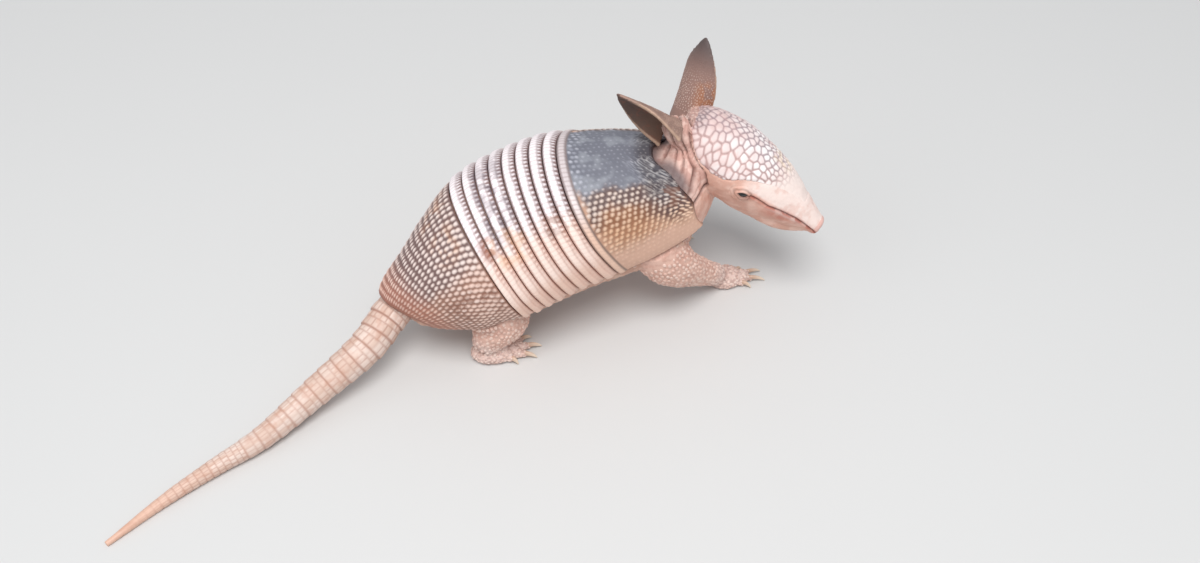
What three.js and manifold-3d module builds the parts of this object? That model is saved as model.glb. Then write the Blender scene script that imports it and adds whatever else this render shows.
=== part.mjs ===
// A life-size young nine-banded armadillo, standing on four feet with its tail trailed on the floor.
// Its body curves to the right, the neck is raised, and the muzzle points forwards and down.
// Millimetres, +Z up. The animal walks towards +X, and its right side faces -Y.
// The soft body (head, neck, trunk, legs, ears) is lofted from stations along curved axes. The shell is
// built from curved plates that lie over it: a head shield, a shoulder shield, eight bands and a hip
// shield. The tail is a row of rings. Where two pieces meet, one is cut back so that a gap stays.

import * as THREE from 'three';
import { mergeVertices } from 'three/addons/utils/BufferGeometryUtils.js';
import Module from 'manifold-3d';

const wasm = await Module();
wasm.setup();

// ---------------------------------------------------------------- driving sizes

const gap = 0.3; // clearance between neighbouring pieces
const plateThickness = 1.2; // shell plates of the body
const headPlateThickness = 1.0;
const bodyCentre = [-19.4, -27.0]; // middle of the animal's outline seen from above, moved to the origin

// Trunk: stations from the tail root to the front of the shoulders.
// at = centre of the section, wide = half width, rise = height above the centre, drop = depth below it,
// turn = heading and pitch in degrees of the direction that the section looks in.
const trunkStations = [
  { at: [-46.0, -21.2, 16.0], wide: 5.6, rise: 5.6, drop: 5.2, turn: [45, 30] },
  { at: [-40.6, -19.7, 18.0], wide: 10.0, rise: 10.0, drop: 9.0, turn: [38, 26] },
  { at: [-34.6, -17.6, 20.6], wide: 13.8, rise: 13.8, drop: 11.6, turn: [31, 20] },
  { at: [-28.7, -14.2, 23.4], wide: 17.8, rise: 17.8, drop: 14.4, turn: [24, 16] },
  { at: [-22.2, -9.9, 26.4], wide: 21.0, rise: 21.2, drop: 16.6, turn: [18, 14] },
  { at: [-13.5, -6.2, 29.2], wide: 22.8, rise: 23.0, drop: 19.4, turn: [12.5, 14] },
  { at: [0.4, -0.7, 33.4], wide: 22.4, rise: 21.6, drop: 21.8, turn: [6, 15] },
  { at: [12.7, 2.1, 36.0], wide: 20.8, rise: 18.4, drop: 22.2, turn: [3, 17] },
  { at: [22.9, 3.6, 38.0], wide: 18.6, rise: 16.0, drop: 20.6, turn: [1, 21] },
  { at: [32.4, 5.2, 39.8], wide: 16.0, rise: 12.8, drop: 16.6, turn: [-2, 27] },
  { at: [39.7, 5.7, 41.6], wide: 13.0, rise: 9.5, drop: 12.0, turn: [-6, 30] },
];
const trunkEnds = [0.03, 0.89]; // shares between which the soft trunk is built; the neck carries on
const shellHalfAngle = 116; // degrees from the middle of the back to the free edge of a plate
const plateSweep = 5.2; // how far the plates run forwards at the height of the trunk's axis
const hipShield = { from: 0.015, to: 0.298 }; // shares of the trunk's length
const shoulderShield = { from: 0.622, to: 0.9 };
const shieldFront = { reach: 4.3, from: 5, full: 40, eases: 85 }; // further forwards on its sides, in degrees
const bandCount = 8;

// Head: a straight axis from behind the ears to the nose, in a frame of its own.
const headFrame = { at: [38.7, 12.2, 49.3], heading: -20, pitch: -32, roll: -20 }; // right cheek turned up
const headStations = [
  // along = distance from the frame's origin, lift = height of the section's centre
  { along: -7.0, lift: -2.0, wide: 6.8, rise: 6.2, drop: 3.6 },
  { along: -4.5, lift: -1.6, wide: 9.2, rise: 8.8, drop: 6.2 },
  { along: 0.0, lift: -1.5, wide: 11.2, rise: 10.8, drop: 9.8 },
  { along: 8.0, lift: -0.4, wide: 12.0, rise: 11.2, drop: 10.4 },
  { along: 16.0, lift: 0.0, wide: 11.5, rise: 10.4, drop: 10.2 },
  { along: 24.0, lift: -0.1, wide: 9.6, rise: 9.2, drop: 8.4 },
  { along: 31.0, lift: -0.2, wide: 7.0, rise: 7.0, drop: 6.0 },
  { along: 36.5, lift: 0.0, wide: 4.8, rise: 4.8, drop: 4.1 },
  { along: 40.0, lift: 0.0, wide: 3.5, rise: 3.4, drop: 3.0 },
];
const nosePad = { from: 40.3, length: 1.6, wide: 3.1, high: 2.9 };
const jawStations = [
  { along: 9.0, lift: -6.2, wide: 7.8, rise: 2.2, drop: 3.4 },
  { along: 16.0, lift: -6.8, wide: 7.5, rise: 2.4, drop: 3.2 },
  { along: 23.0, lift: -6.4, wide: 6.2, rise: 2.4, drop: 2.8 },
  { along: 29.5, lift: -5.6, wide: 4.9, rise: 2.4, drop: 2.8 },
  { along: 35.5, lift: -4.4, wide: 3.2, rise: 1.8, drop: 2.2 },
];
const headShield = {
  from: -6.0,
  to: 33.0,
  // half angle that it covers at distances along the head: down over the cheeks, and up over the eyes
  edge: [[-6, 48], [-4.8, 63], [-1.8, 80], [2, 91], [6, 96], [9, 95], [11, 89], [13.5, 78], [17, 68], [24, 54], [33, 40]],
};
const eye = { along: 15.7, angle: 98, radius: 2.4, sink: 1.3 };

// Ears: cupped leaves. base is in the head's frame (along, left, lift), tip is a direction in the row frame.
const ear = { thickness: 0.9, baseCurl: 2.0, tipCurl: 0.95 };
const ears = [
  {
    name: 'ear_left',
    length: 21.5,
    halfArc: 8.2,
    base: [-8.8, 4.85, 0.1],
    tip: [0.32, 0.405, 0.857],
    opening: [0.75, 0.55, -0.43],
  },
  {
    name: 'ear_right',
    length: 21.8,
    halfArc: 8.2,
    base: [-7.4, -6.1, 2.7],
    tip: [-0.82, -0.09, 0.55],
    opening: [-0.5, -0.8, -0.3],
  },
];

// Neck: a thick raised column between the shoulders and the back of the head.
const neckStations = [
  // from the trunk's end to inside the back of the head; facing = the direction a section looks
  { at: [37.5, 8.4, 43.6], facing: [0.9, -0.05, 0.42], wide: 12.4, rise: 10.6, drop: 12.6 },
  { at: [39.8, 9.6, 45.4], facing: [0.88, -0.2, 0.36], wide: 11.2, rise: 9.5, drop: 11.0 },
  { at: [42.5, 10.0, 46.0], facing: [0.88, -0.3, 0.2], wide: 9.5, rise: 8.0, drop: 9.0 },
];
const neckFolds = { count: 3, depth: 0.35 };

// Tail: centre line from the root to the tip, with its radius at each station.
const tailStations = [
  { at: [-41.5, -17.0, 18.0], radius: 5.1 },
  { at: [-46.5, -22.6, 15.5], radius: 5.0 },
  { at: [-52.7, -31.3, 12.0], radius: 4.7 },
  { at: [-65.7, -42.4, 6.6], radius: 3.9 },
  { at: [-77.6, -54.0, 3.4], radius: 3.05 },
  { at: [-88.8, -62.6, 2.1], radius: 2.3 },
  { at: [-99.7, -72.1, 1.45], radius: 1.6 },
  { at: [-111.7, -84.4, 0.65], radius: 0.7 },
];
const tailRings = { count: 13, until: 0.6, step: 0.35 }; // step = how proud a ring's rear edge stands
const tailCuts = [0.0, 0.3, 0.6, 0.8, 1.0]; // ends of the tail's lengths, as shares of the whole

// Legs: from inside the body to the ankle. Feet: sole centre, heading in degrees, and sizes.
const legs = [
  {
    name: 'foreleg_right',
    stations: [
      { at: [24.5, -5.5, 30.0], wide: 8.0, deep: 9.0 },
      { at: [31.0, -7.5, 20.5], wide: 6.0, deep: 7.0 },
      { at: [39.0, -1.8, 11.0], wide: 4.2, deep: 4.6 },
      { at: [45.5, 3.0, 4.4], wide: 3.3, deep: 3.2 },
    ],
  },
  {
    name: 'foreleg_left',
    stations: [
      { at: [21.0, 13.0, 30.0], wide: 8.0, deep: 9.0 },
      { at: [19.5, 18.5, 19.5], wide: 6.0, deep: 7.0 },
      { at: [21.5, 20.0, 10.5], wide: 4.2, deep: 4.6 },
      { at: [25.5, 20.6, 4.4], wide: 3.3, deep: 3.2 },
    ],
  },
  {
    name: 'hindleg_right',
    stations: [
      { at: [-21.5, -19.5, 22.5], wide: 8.0, deep: 10.5 },
      { at: [-16.0, -21.5, 14.2], wide: 6.8, deep: 8.2 },
      { at: [-19.0, -23.4, 8.2], wide: 4.8, deep: 5.6 },
      { at: [-20.5, -24.0, 4.6], wide: 3.6, deep: 4.2 },
    ],
  },
  {
    name: 'hindleg_left',
    stations: [
      { at: [-27.5, 1.0, 22.0], wide: 8.0, deep: 10.5 },
      { at: [-24.5, 5.5, 14.0], wide: 6.8, deep: 8.2 },
      { at: [-27.5, 7.5, 8.0], wide: 4.8, deep: 5.6 },
      { at: [-29.0, 8.4, 4.6], wide: 3.6, deep: 4.2 },
    ],
  },
];
const forePaw = {
  palm: { length: 5.2, width: 4.2, height: 3.2 },
  // toes: spread in degrees, reach of the toe, length of its claw
  toes: [
    { spread: -30, reach: 5.4, claw: 2.6 },
    { spread: -9, reach: 7.2, claw: 4.6 },
    { spread: 10, reach: 7.0, claw: 4.4 },
    { spread: 33, reach: 4.6, claw: 2.4 },
  ],
};
const hindPaw = {
  palm: { length: 7.0, width: 4.6, height: 3.4 },
  toes: [
    { spread: -42, reach: 5.6, claw: 2.0 },
    { spread: -19, reach: 8.4, claw: 3.4 },
    { spread: 0, reach: 9.2, claw: 3.9 },
    { spread: 19, reach: 8.2, claw: 3.3 },
    { spread: 44, reach: 5.0, claw: 2.0 },
  ],
};
const feet = [
  { name: 'forefoot_right', at: [48.0, 4.2], heading: 10, paw: forePaw },
  { name: 'forefoot_left', at: [27.8, 21.4], heading: 10, paw: forePaw },
  { name: 'hindfoot_right', at: [-18.3, -23.4], heading: 12, paw: hindPaw },
  { name: 'hindfoot_left', at: [-27.0, 9.2], heading: 24, paw: hindPaw },
];

// ---------------------------------------------------------------- finishes

const finish = (color, roughness) => new THREE.MeshStandardMaterial({ color, roughness, metalness: 0 });
const finishes = {
  skin: finish(0xc99a84, 0.62),
  headPlate: finish(0xe6d2c8, 0.5),
  darkPlate: finish(0x9a8f90, 0.5),
  palePlate: finish(0xe2c4b2, 0.5),
  tail: finish(0xe5c3b0, 0.55),
  ear: finish(0x86665a, 0.7),
  nose: finish(0xe0a79a, 0.45),
  eye: finish(0x17110e, 0.12),
  paw: finish(0xcfa592, 0.6),
};

// ---------------------------------------------------------------- helpers

const rad = THREE.MathUtils.degToRad;
const lerp = THREE.MathUtils.lerp;
const smoothstep = THREE.MathUtils.smoothstep;
const vector = (list) => new THREE.Vector3(...list);
const up = new THREE.Vector3(0, 0, 1);

// The unit vector with a heading (x) and a pitch (y), both in degrees.
const direction = ({ x, y }) => new THREE.Vector3(
  Math.cos(rad(y)) * Math.cos(rad(x)),
  Math.cos(rad(y)) * Math.sin(rad(x)),
  Math.sin(rad(y)),
);

// A closed surface through rings of points, each ring seen turning right-handed about the loft's direction.
function loft(rings) {
  const points = [];
  const faces = [];
  const sides = rings[0].length;
  for (const ring of rings) points.push(...ring);
  for (let i = 0; i + 1 < rings.length; i++) {
    for (let j = 0; j < sides; j++) {
      const a = i * sides + j;
      const b = i * sides + ((j + 1) % sides);
      faces.push(a, b, b + sides, a, b + sides, a + sides);
    }
  }
  const middle = (ring) => ring.reduce((sum, p) => sum.add(p), new THREE.Vector3()).divideScalar(sides);
  const last = (rings.length - 1) * sides;
  points.push(middle(rings[0]), middle(rings[rings.length - 1]));
  for (let j = 0; j < sides; j++) {
    const k = (j + 1) % sides;
    faces.push(points.length - 2, k, j, points.length - 1, last + j, last + k);
  }
  return new THREE.BufferGeometry().setFromPoints(points).setIndex(faces);
}

// A closed plate between an outer and an inner surface, both given as functions of two shares from 0 to 1.
function plate(outer, inner, rows, columns) {
  const points = [];
  const faces = [];
  const index = (layer, i, j) => layer * (rows + 1) * (columns + 1) + i * (columns + 1) + j;
  for (const surface of [outer, inner]) {
    for (let i = 0; i <= rows; i++) {
      for (let j = 0; j <= columns; j++) points.push(surface(i / rows, j / columns));
    }
  }
  const quad = (a, b, c, d) => faces.push(a, b, c, a, c, d);
  for (let i = 0; i < rows; i++) {
    for (let j = 0; j < columns; j++) {
      quad(index(0, i, j), index(0, i, j + 1), index(0, i + 1, j + 1), index(0, i + 1, j));
      quad(index(1, i, j), index(1, i + 1, j), index(1, i + 1, j + 1), index(1, i, j + 1));
    }
  }
  for (let i = 0; i < rows; i++) {
    quad(index(0, i, 0), index(0, i + 1, 0), index(1, i + 1, 0), index(1, i, 0));
    quad(index(0, i + 1, columns), index(0, i, columns), index(1, i, columns), index(1, i + 1, columns));
  }
  for (let j = 0; j < columns; j++) {
    quad(index(0, 0, j + 1), index(0, 0, j), index(1, 0, j), index(1, 0, j + 1));
    quad(index(0, rows, j), index(0, rows, j + 1), index(1, rows, j + 1), index(1, rows, j));
  }
  return new THREE.BufferGeometry().setFromPoints(points).setIndex(faces);
}

// The solid of a closed geometry, for joins and cuts. A geometry whose faces point inwards is turned round.
function solid(geometry) {
  const bare = geometry.clone();
  for (const extra of ['normal', 'uv']) bare.deleteAttribute(extra);
  const merged = mergeVertices(bare, 1e-4);
  const triVerts = new Uint32Array(merged.index.array);
  const make = () => new wasm.Manifold(new wasm.Mesh({
    numProp: 3,
    vertProperties: merged.attributes.position.array,
    triVerts,
  }));
  const made = make();
  if (made.volume() > 0) return made;
  for (let i = 0; i < triVerts.length; i += 3) {
    [triVerts[i + 1], triVerts[i + 2]] = [triVerts[i + 2], triVerts[i + 1]];
  }
  return make();
}

// The largest body of a solid, so that slivers left by a cut are dropped.
function largestBody(made) {
  return made.decompose().reduce((best, body) => (body.volume() > best.volume() ? body : best));
}

function geometryOf(made) {
  const mesh = made.getMesh();
  const geometry = new THREE.BufferGeometry();
  geometry.setAttribute('position', new THREE.BufferAttribute(new Float32Array(mesh.vertProperties), 3));
  geometry.setIndex(new THREE.BufferAttribute(new Uint32Array(mesh.triVerts), 1));
  return geometry.toNonIndexed();
}

// A half space as a large block, for trimming at the floor.
function belowFloor() {
  const size = 600;
  return solid(new THREE.BoxGeometry(size, size, size).translate(0, 0, -size / 2));
}

// Stations along a curved axis: a centre and three sizes at each, read by a share of the axis's length.
class Axis {
  constructor(stations) {
    this.last = stations.length - 1;
    this.path = new THREE.CatmullRomCurve3(stations.map((s) => vector(s.at)), false, 'catmullrom');
    const sizes = stations.map((s) => new THREE.Vector3(
      s.wide ?? s.radius,
      s.rise ?? s.deep ?? s.radius,
      s.drop ?? s.deep ?? s.radius,
    ));
    this.sizes = new THREE.CatmullRomCurve3(sizes, false, 'catmullrom');
    const turns = stations.map((s) => new THREE.Vector3(...(s.turn ?? [0, 0]), 0));
    this.turns = stations[0].turn ? new THREE.CatmullRomCurve3(turns, false, 'catmullrom') : null;
  }

  // Centre, forward, left and upward directions, and sizes, at a share of the length.
  frame(share) {
    const t = this.path.getUtoTmapping(THREE.MathUtils.clamp(share, 0, 1));
    const forward = this.turns ? direction(this.turns.getPoint(t)) : this.path.getTangent(t);
    const left = new THREE.Vector3().crossVectors(up, forward).normalize();
    return {
      centre: this.path.getPoint(t),
      forward,
      left,
      upward: new THREE.Vector3().crossVectors(forward, left),
      size: this.sizes.getPoint(t),
    };
  }
}

// A point on a rounded section: angle 0 is the top and +90 degrees the left side.
function sectionPoint(frame, angle, grow = 0) {
  const high = Math.cos(angle) > 0 ? frame.size.y : frame.size.z;
  return frame.centre.clone()
    .addScaledVector(frame.left, (frame.size.x + grow) * Math.sin(angle))
    .addScaledVector(frame.upward, (high + grow) * Math.cos(angle));
}

// ---------------------------------------------------------------- trunk and shell

const trunkAxis = new Axis(trunkStations);
const trunkLength = trunkAxis.path.getLength();

// How far the soft body lies under the outline: deeper below the plates than on the belly.
function underShell(angle) {
  const edge = rad(shellHalfAngle);
  const cover = 1 - smoothstep(Math.abs(angle), edge, edge + rad(10));
  return -(plateThickness + gap) * cover;
}

// A point of the shell: share along the trunk, angle from the middle of the back, and height over the outline.
// The lower ends are swept forwards.
function shellPoint(share, angle, grow) {
  const forwards = plateSweep * Math.pow(Math.sin(Math.PI * Math.min(share, 0.5)), 0.3);
  const swept = share + (forwards * (1 - Math.cos(angle))) / trunkLength;
  const flare = 0.5 * smoothstep(Math.abs(angle), rad(95), rad(shellHalfAngle));
  return sectionPoint(trunkAxis.frame(swept), angle, grow + flare);
}

// endAt gives the share of the front edge at an angle.
function shellPlate(from, endAt, rows, columns, relief, depth = plateThickness, extra = 0) {
  const half = rad(shellHalfAngle + extra);
  const surface = (growAt) => (u, v) => {
    const angle = lerp(-half, half, v);
    return shellPoint(lerp(from, endAt(angle), u), angle, growAt(u));
  };
  return solid(plate(surface(relief), surface(() => -depth), rows, columns));
}

// The front edge of the shoulder shield, as a share of the trunk.
function shoulderFront(angle) {
  const side = Math.abs(angle);
  const rise = smoothstep(side, rad(shieldFront.from), rad(shieldFront.full));
  const fall = smoothstep(side, rad(shieldFront.eases), rad(shellHalfAngle));
  return shoulderShield.to + (shieldFront.reach / trunkLength) * rise * (1 - 0.8 * fall);
}

function bodyLoft(from, to, rows, sides, growAt) {
  const rings = [];
  for (let i = 0; i <= rows; i++) {
    const frame = trunkAxis.frame(lerp(from, to, i / rows));
    const ring = [];
    for (let j = 0; j < sides; j++) {
      const angle = -Math.PI + (2 * Math.PI * (j + 0.5)) / sides;
      ring.push(sectionPoint(frame, angle, growAt(angle)));
    }
    rings.push(ring);
  }
  return solid(loft(rings));
}

const trunk = bodyLoft(trunkEnds[0], trunkEnds[1], 12, 20, underShell);
const underPlates = (angle) => Math.abs(angle) < rad(shellHalfAngle + 8);
const wholeBody = bodyLoft(0, trunkEnds[1], 12, 20, (angle) => gap + (underPlates(angle) ? 0.8 : 0.1));

const halfGap = gap / 2 / trunkLength;
const hipPlate = shellPlate(hipShield.from, () => hipShield.to - halfGap, 6, 18, () => 0);
const shoulderPlate = shellPlate(shoulderShield.from + halfGap, shoulderFront, 5, 18, () => 0);

// The whole shell with its clearance, for cutting back what comes near it.
const shellRoom = shellPlate(
  hipShield.from - 2 * halfGap,
  (angle) => shoulderFront(angle) + 2 * halfGap,
  13,
  16,
  () => 0.7 + gap,
  plateThickness + gap,
  1.2,
);

// Each band is a low roof, highest just ahead of its rear edge.
function band(index) {
  const pitch = (shoulderShield.from - hipShield.to) / bandCount;
  const from = hipShield.to + index * pitch;
  const roof = (u) => (u < 0.3 ? 0 : u < 0.7 ? 0.55 : 0.1);
  return shellPlate(from + halfGap, () => from + pitch - halfGap, 2, 14, roof);
}

// ---------------------------------------------------------------- head

const headTurn = new THREE.Matrix4().makeRotationFromEuler(
  new THREE.Euler(rad(headFrame.roll), rad(-headFrame.pitch), rad(headFrame.heading), 'ZYX'),
);
headTurn.setPosition(...headFrame.at);
const inHead = (along, left, lift) => new THREE.Vector3(along, left, lift).applyMatrix4(headTurn);

// Stations of a straight axis in the head's frame.
class HeadAxis extends Axis {
  constructor(stations) {
    super(stations.map((s) => ({ ...s, at: [s.along, 0, s.lift] })));
  }

  // The section at a distance along the head, standing square to the head's axis.
  section(along) {
    let low = 0;
    let high = 1;
    for (let i = 0; i < 24; i++) {
      const middle = (low + high) / 2;
      if (this.path.getPoint(middle).x < along) low = middle;
      else high = middle;
    }
    return {
      centre: this.path.getPoint(low),
      left: new THREE.Vector3(0, 1, 0),
      upward: new THREE.Vector3(0, 0, 1),
      size: this.sizes.getPoint(low),
    };
  }
}

function headLoft(axis, from, to, rows, sides, growAt) {
  const rings = [];
  for (let i = 0; i <= rows; i++) {
    const along = lerp(from, to, i / rows);
    const section = axis.section(along);
    const ring = [];
    for (let j = 0; j < sides; j++) {
      const angle = -Math.PI + (2 * Math.PI * (j + 0.5)) / sides;
      ring.push(sectionPoint(section, angle, growAt(along, angle)).applyMatrix4(headTurn));
    }
    rings.push(ring);
  }
  return solid(loft(rings));
}

const headAxis = new HeadAxis(headStations);
const jawAxis = new HeadAxis(jawStations);

// Half angle that the head shield covers at a distance along the head.
function headShieldAngle(along) {
  const { edge } = headShield;
  const next = Math.max(1, edge.findIndex(([at]) => at >= along));
  const [[startAt, start], [endAt, end]] = [edge[next - 1], edge[next]];
  return rad(lerp(start, end, THREE.MathUtils.clamp((along - startAt) / (endAt - startAt), 0, 1)));
}

// The head shield, or the room it needs when it is made larger by a clearance.
function headShieldSolid(above, below, spare) {
  const surface = (grow) => (u, v) => {
    const along = lerp(headShield.from + gap - spare, headShield.to - gap + spare, u);
    const section = headAxis.section(along);
    const angle = lerp(-1, 1, v) * (headShieldAngle(along) + spare / section.size.x);
    return sectionPoint(section, angle, grow).applyMatrix4(headTurn);
  };
  return solid(plate(surface(above), surface(-below), 9, 8));
}

const headPlate = headShieldSolid(0, headPlateThickness, 0);
const headPlateRoom = headShieldSolid(1.5, headPlateThickness + gap, gap);

const jaw = headLoft(jawAxis, 9, 35.5, 7, 14, () => 0);
const jawRoom = headLoft(jawAxis, 9, 35.5, 7, 14, () => gap);
const headRoom = headLoft(headAxis, -7, 40, 10, 16, () => gap).add(jawRoom).add(headPlateRoom);

function eyeCentre(side) {
  const section = headAxis.section(eye.along);
  const inner = { ...section, size: section.size.clone().subScalar(eye.sink) };
  return sectionPoint(inner, side * rad(eye.angle)).applyMatrix4(headTurn);
}

function ball(centre, radius, detail) {
  const geometry = new THREE.SphereGeometry(radius, detail, Math.round(detail * 0.7));
  return solid(geometry.translate(...centre.toArray()));
}

const noseTip = headLoft(
  { section: (along) => {
    const end = Math.max(0, (along - nosePad.from) / nosePad.length);
    const shrink = Math.sqrt(1 - 0.5 * end * end);
    return {
      centre: new THREE.Vector3(along, 0, 0),
      left: new THREE.Vector3(0, 1, 0),
      upward: new THREE.Vector3(0, 0, 1),
      size: new THREE.Vector3(nosePad.wide * shrink, nosePad.high * shrink, nosePad.high * shrink),
    };
  } },
  nosePad.from,
  nosePad.from + nosePad.length,
  3,
  14,
  () => 0,
);

// ---------------------------------------------------------------- ears

// A leaf that is rolled into a tube at its base and opens out towards the tip.
function earSolid(one, grow = 0) {
  const root = inHead(...one.base);
  const axis = vector(one.tip).normalize();
  const open = vector(one.opening).addScaledVector(axis, -vector(one.opening).dot(axis)).normalize();
  const across = new THREE.Vector3().crossVectors(axis, open);
  const leaf = (u) => Math.pow(1 - Math.pow(u, 2.4), 0.75) * (1.35 - 0.35 * u);
  const surface = (inside) => (u, v) => {
    const along = Math.min(u, 0.985);
    const curl = lerp(ear.baseCurl, ear.tipCurl, smoothstep(along, 0, 0.75));
    const radius = (one.halfArc * leaf(along)) / curl;
    const wall = Math.min(ear.thickness, 0.6 * radius);
    const r = inside ? radius - wall - grow : radius + grow;
    const turn = curl * lerp(-1, 1, v);
    return root.clone()
      .addScaledVector(axis, one.length * u)
      .addScaledVector(open, radius - r * Math.cos(turn))
      .addScaledVector(across, r * Math.sin(turn));
  };
  return solid(plate(surface(false), surface(true), 7, 6));
}

// ---------------------------------------------------------------- neck

// The neck carries on the trunk's own sections, and its folds are shallow waves along it.
function neckSolid() {
  const start = trunkEnds[1] + gap / trunkLength;
  const stations = [start, start + 0.03].map((share) => {
    const { centre, forward, size } = trunkAxis.frame(share);
    const under = plateThickness + gap;
    return {
      at: centre.toArray(),
      facing: forward.toArray(),
      wide: size.x - under,
      rise: size.y - under,
      drop: size.z - under,
    };
  });
  stations.push(...neckStations);
  const axis = new Axis(stations);
  const facings = new THREE.CatmullRomCurve3(stations.map((s) => vector(s.facing)), false, 'catmullrom');
  const rings = [];
  const rows = 9;
  const sides = 12;
  for (let i = 0; i <= rows; i++) {
    const share = i / rows;
    const t = axis.path.getUtoTmapping(share);
    const forward = facings.getPoint(t).normalize();
    const left = new THREE.Vector3().crossVectors(up, forward).normalize();
    const wave = -neckFolds.depth * (1 - Math.cos(2 * Math.PI * neckFolds.count * share));
    const section = {
      centre: axis.path.getPoint(t),
      left,
      upward: new THREE.Vector3().crossVectors(forward, left),
      size: axis.sizes.getPoint(t).addScalar(wave),
    };
    const ring = [];
    for (let j = 0; j < sides; j++) ring.push(sectionPoint(section, (2 * Math.PI * j) / sides));
    rings.push(ring);
  }
  return solid(loft(rings));
}

// ---------------------------------------------------------------- tail

const tailAxis = new Axis(tailStations);

// Rings stand proud at their rear edges, and fade out towards the tip.
function ringRelief(share) {
  if (share > tailRings.until) return 0;
  const phase = (share / tailRings.until) * tailRings.count;
  const fade = 1 - 0.6 * (share / tailRings.until);
  return tailRings.step * fade * (phase % 1);
}

function tailLength(from, to) {
  const shares = [from];
  const ringShare = tailRings.until / tailRings.count;
  const slack = 1e-3;
  for (let k = 1; k * ringShare < to - slack; k++) {
    const edge = k * ringShare;
    if (edge > from + slack && edge <= tailRings.until + slack) shares.push(edge - slack, edge + slack);
  }
  if (from >= tailRings.until - slack) {
    for (let k = 1; k < 4; k++) shares.push(lerp(from, to, k / 4));
  }
  shares.push(to);
  const sides = 10;
  const rings = shares.map((share) => {
    const frame = tailAxis.frame(share);
    const ring = [];
    for (let j = 0; j < sides; j++) {
      ring.push(sectionPoint(frame, (2 * Math.PI * j) / sides, ringRelief(share)));
    }
    return ring;
  });
  return solid(loft(rings));
}

// ---------------------------------------------------------------- legs and feet

function legSolid(stations, grow = 0) {
  const axis = new Axis(stations.map((s) => ({ at: s.at, wide: s.wide, deep: s.deep })));
  const rings = [];
  const rows = 5;
  const sides = 10;
  for (let i = 0; i <= rows; i++) {
    const t = axis.path.getUtoTmapping(i / rows);
    const forward = axis.path.getTangent(t);
    const left = new THREE.Vector3().crossVectors(forward, new THREE.Vector3(1, 0.4, 0)).normalize();
    const section = {
      centre: axis.path.getPoint(t),
      left,
      upward: new THREE.Vector3().crossVectors(forward, left),
      size: axis.sizes.getPoint(t),
    };
    const ring = [];
    for (let j = 0; j < sides; j++) ring.push(sectionPoint(section, (2 * Math.PI * j) / sides, grow));
    rings.push(ring);
  }
  return solid(loft(rings));
}

// A toe that ends in a curved claw, along +X from the palm.
function toeSolid(toe, thick) {
  const reach = toe.reach;
  const stations = [
    { x: reach * 0.2, z: 1.6, r: thick },
    { x: reach * 0.85, z: 1.6, r: thick * 0.85 },
    { x: reach + toe.claw * 0.3, z: 1.4, r: thick * 0.45 },
    { x: reach + toe.claw, z: 0.4, r: 0.25 },
  ];
  const sides = 5;
  const rings = stations.map((s) => {
    const ring = [];
    for (let j = 0; j < sides; j++) {
      const angle = (2 * Math.PI * j) / sides;
      ring.push(new THREE.Vector3(s.x, s.r * Math.sin(angle), s.z + s.r * Math.cos(angle)));
    }
    return ring;
  });
  return solid(loft(rings)).rotate([0, 0, toe.spread]);
}

function footSolid(foot) {
  const { palm, toes } = foot.paw;
  const ballOfPaw = new THREE.SphereGeometry(1, 10, 6).scale(palm.length, palm.width, palm.height);
  let made = solid(ballOfPaw.translate(0, 0, 1.9));
  for (const toe of toes) made = made.add(toeSolid(toe, palm.width * 0.34));
  return made.rotate([0, 0, foot.heading]).translate([foot.at[0], foot.at[1], 0]);
}

// ---------------------------------------------------------------- assembly

const armadillo = new THREE.Group();
armadillo.position.set(-bodyCentre[0], -bodyCentre[1], 0);

function addPiece(name, made, material) {
  const mesh = new THREE.Mesh(geometryOf(largestBody(made)), material);
  mesh.geometry.computeVertexNormals();
  mesh.name = name;
  armadillo.add(mesh);
}

const floor = belowFloor();

// Shell
addPiece('shell_hip', hipPlate, finishes.palePlate);
for (let i = 0; i < bandCount; i++) addPiece(`shell_band_${bandCount - i}`, band(i), finishes.palePlate);
addPiece('shell_shoulder', shoulderPlate, finishes.darkPlate);

// Soft body
const neckWhole = neckSolid();
const neck = neckWhole.subtract(headRoom).subtract(shellRoom);
addPiece('trunk', trunk.subtract(headRoom), finishes.skin);
addPiece('neck', neck, finishes.skin);

const earSolids = ears.map((one) => earSolid(one));
const eyeRooms = [1, -1].map((side) => ball(eyeCentre(side), eye.radius + gap, 12));
let head = headLoft(headAxis, -7, 40, 10, 16, () => 0);
head = head.subtract(headPlateRoom).subtract(jawRoom).subtract(shellRoom);
for (const room of eyeRooms) head = head.subtract(room);
addPiece('head', head, finishes.skin);
let shield = headPlate;
for (const room of eyeRooms) shield = shield.subtract(room);
addPiece('head_shield', shield, finishes.headPlate);
addPiece('jaw', jaw, finishes.skin);
addPiece('nose', noseTip, finishes.nose);
addPiece('eye_left', ball(eyeCentre(1), eye.radius, 10), finishes.eye);
addPiece('eye_right', ball(eyeCentre(-1), eye.radius, 10), finishes.eye);
ears.forEach((one, i) => {
  addPiece(one.name, earSolids[i].subtract(headRoom).subtract(neckWhole).subtract(shellRoom), finishes.ear);
});

// Tail
for (let i = 0; i + 1 < tailCuts.length; i++) {
  const spare = i + 2 < tailCuts.length ? gap / tailAxis.path.getLength() : 0;
  let length = tailLength(tailCuts[i], tailCuts[i + 1] - spare).subtract(floor);
  if (i === 0) length = length.subtract(wholeBody);
  addPiece(`tail_${i + 1}`, length, finishes.tail);
}

// Legs and feet
legs.forEach((leg, i) => {
  const foot = footSolid(feet[i]).subtract(floor);
  const room = wholeBody.add(shellRoom).add(footSolid(feet[i]));
  addPiece(leg.name, legSolid(leg.stations).subtract(room), finishes.skin);
  addPiece(feet[i].name, foot, finishes.paw);
});

export default armadillo;
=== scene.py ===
import math

import bpy
import numpy as np
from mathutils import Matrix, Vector
from mathutils.kdtree import KDTree


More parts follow.
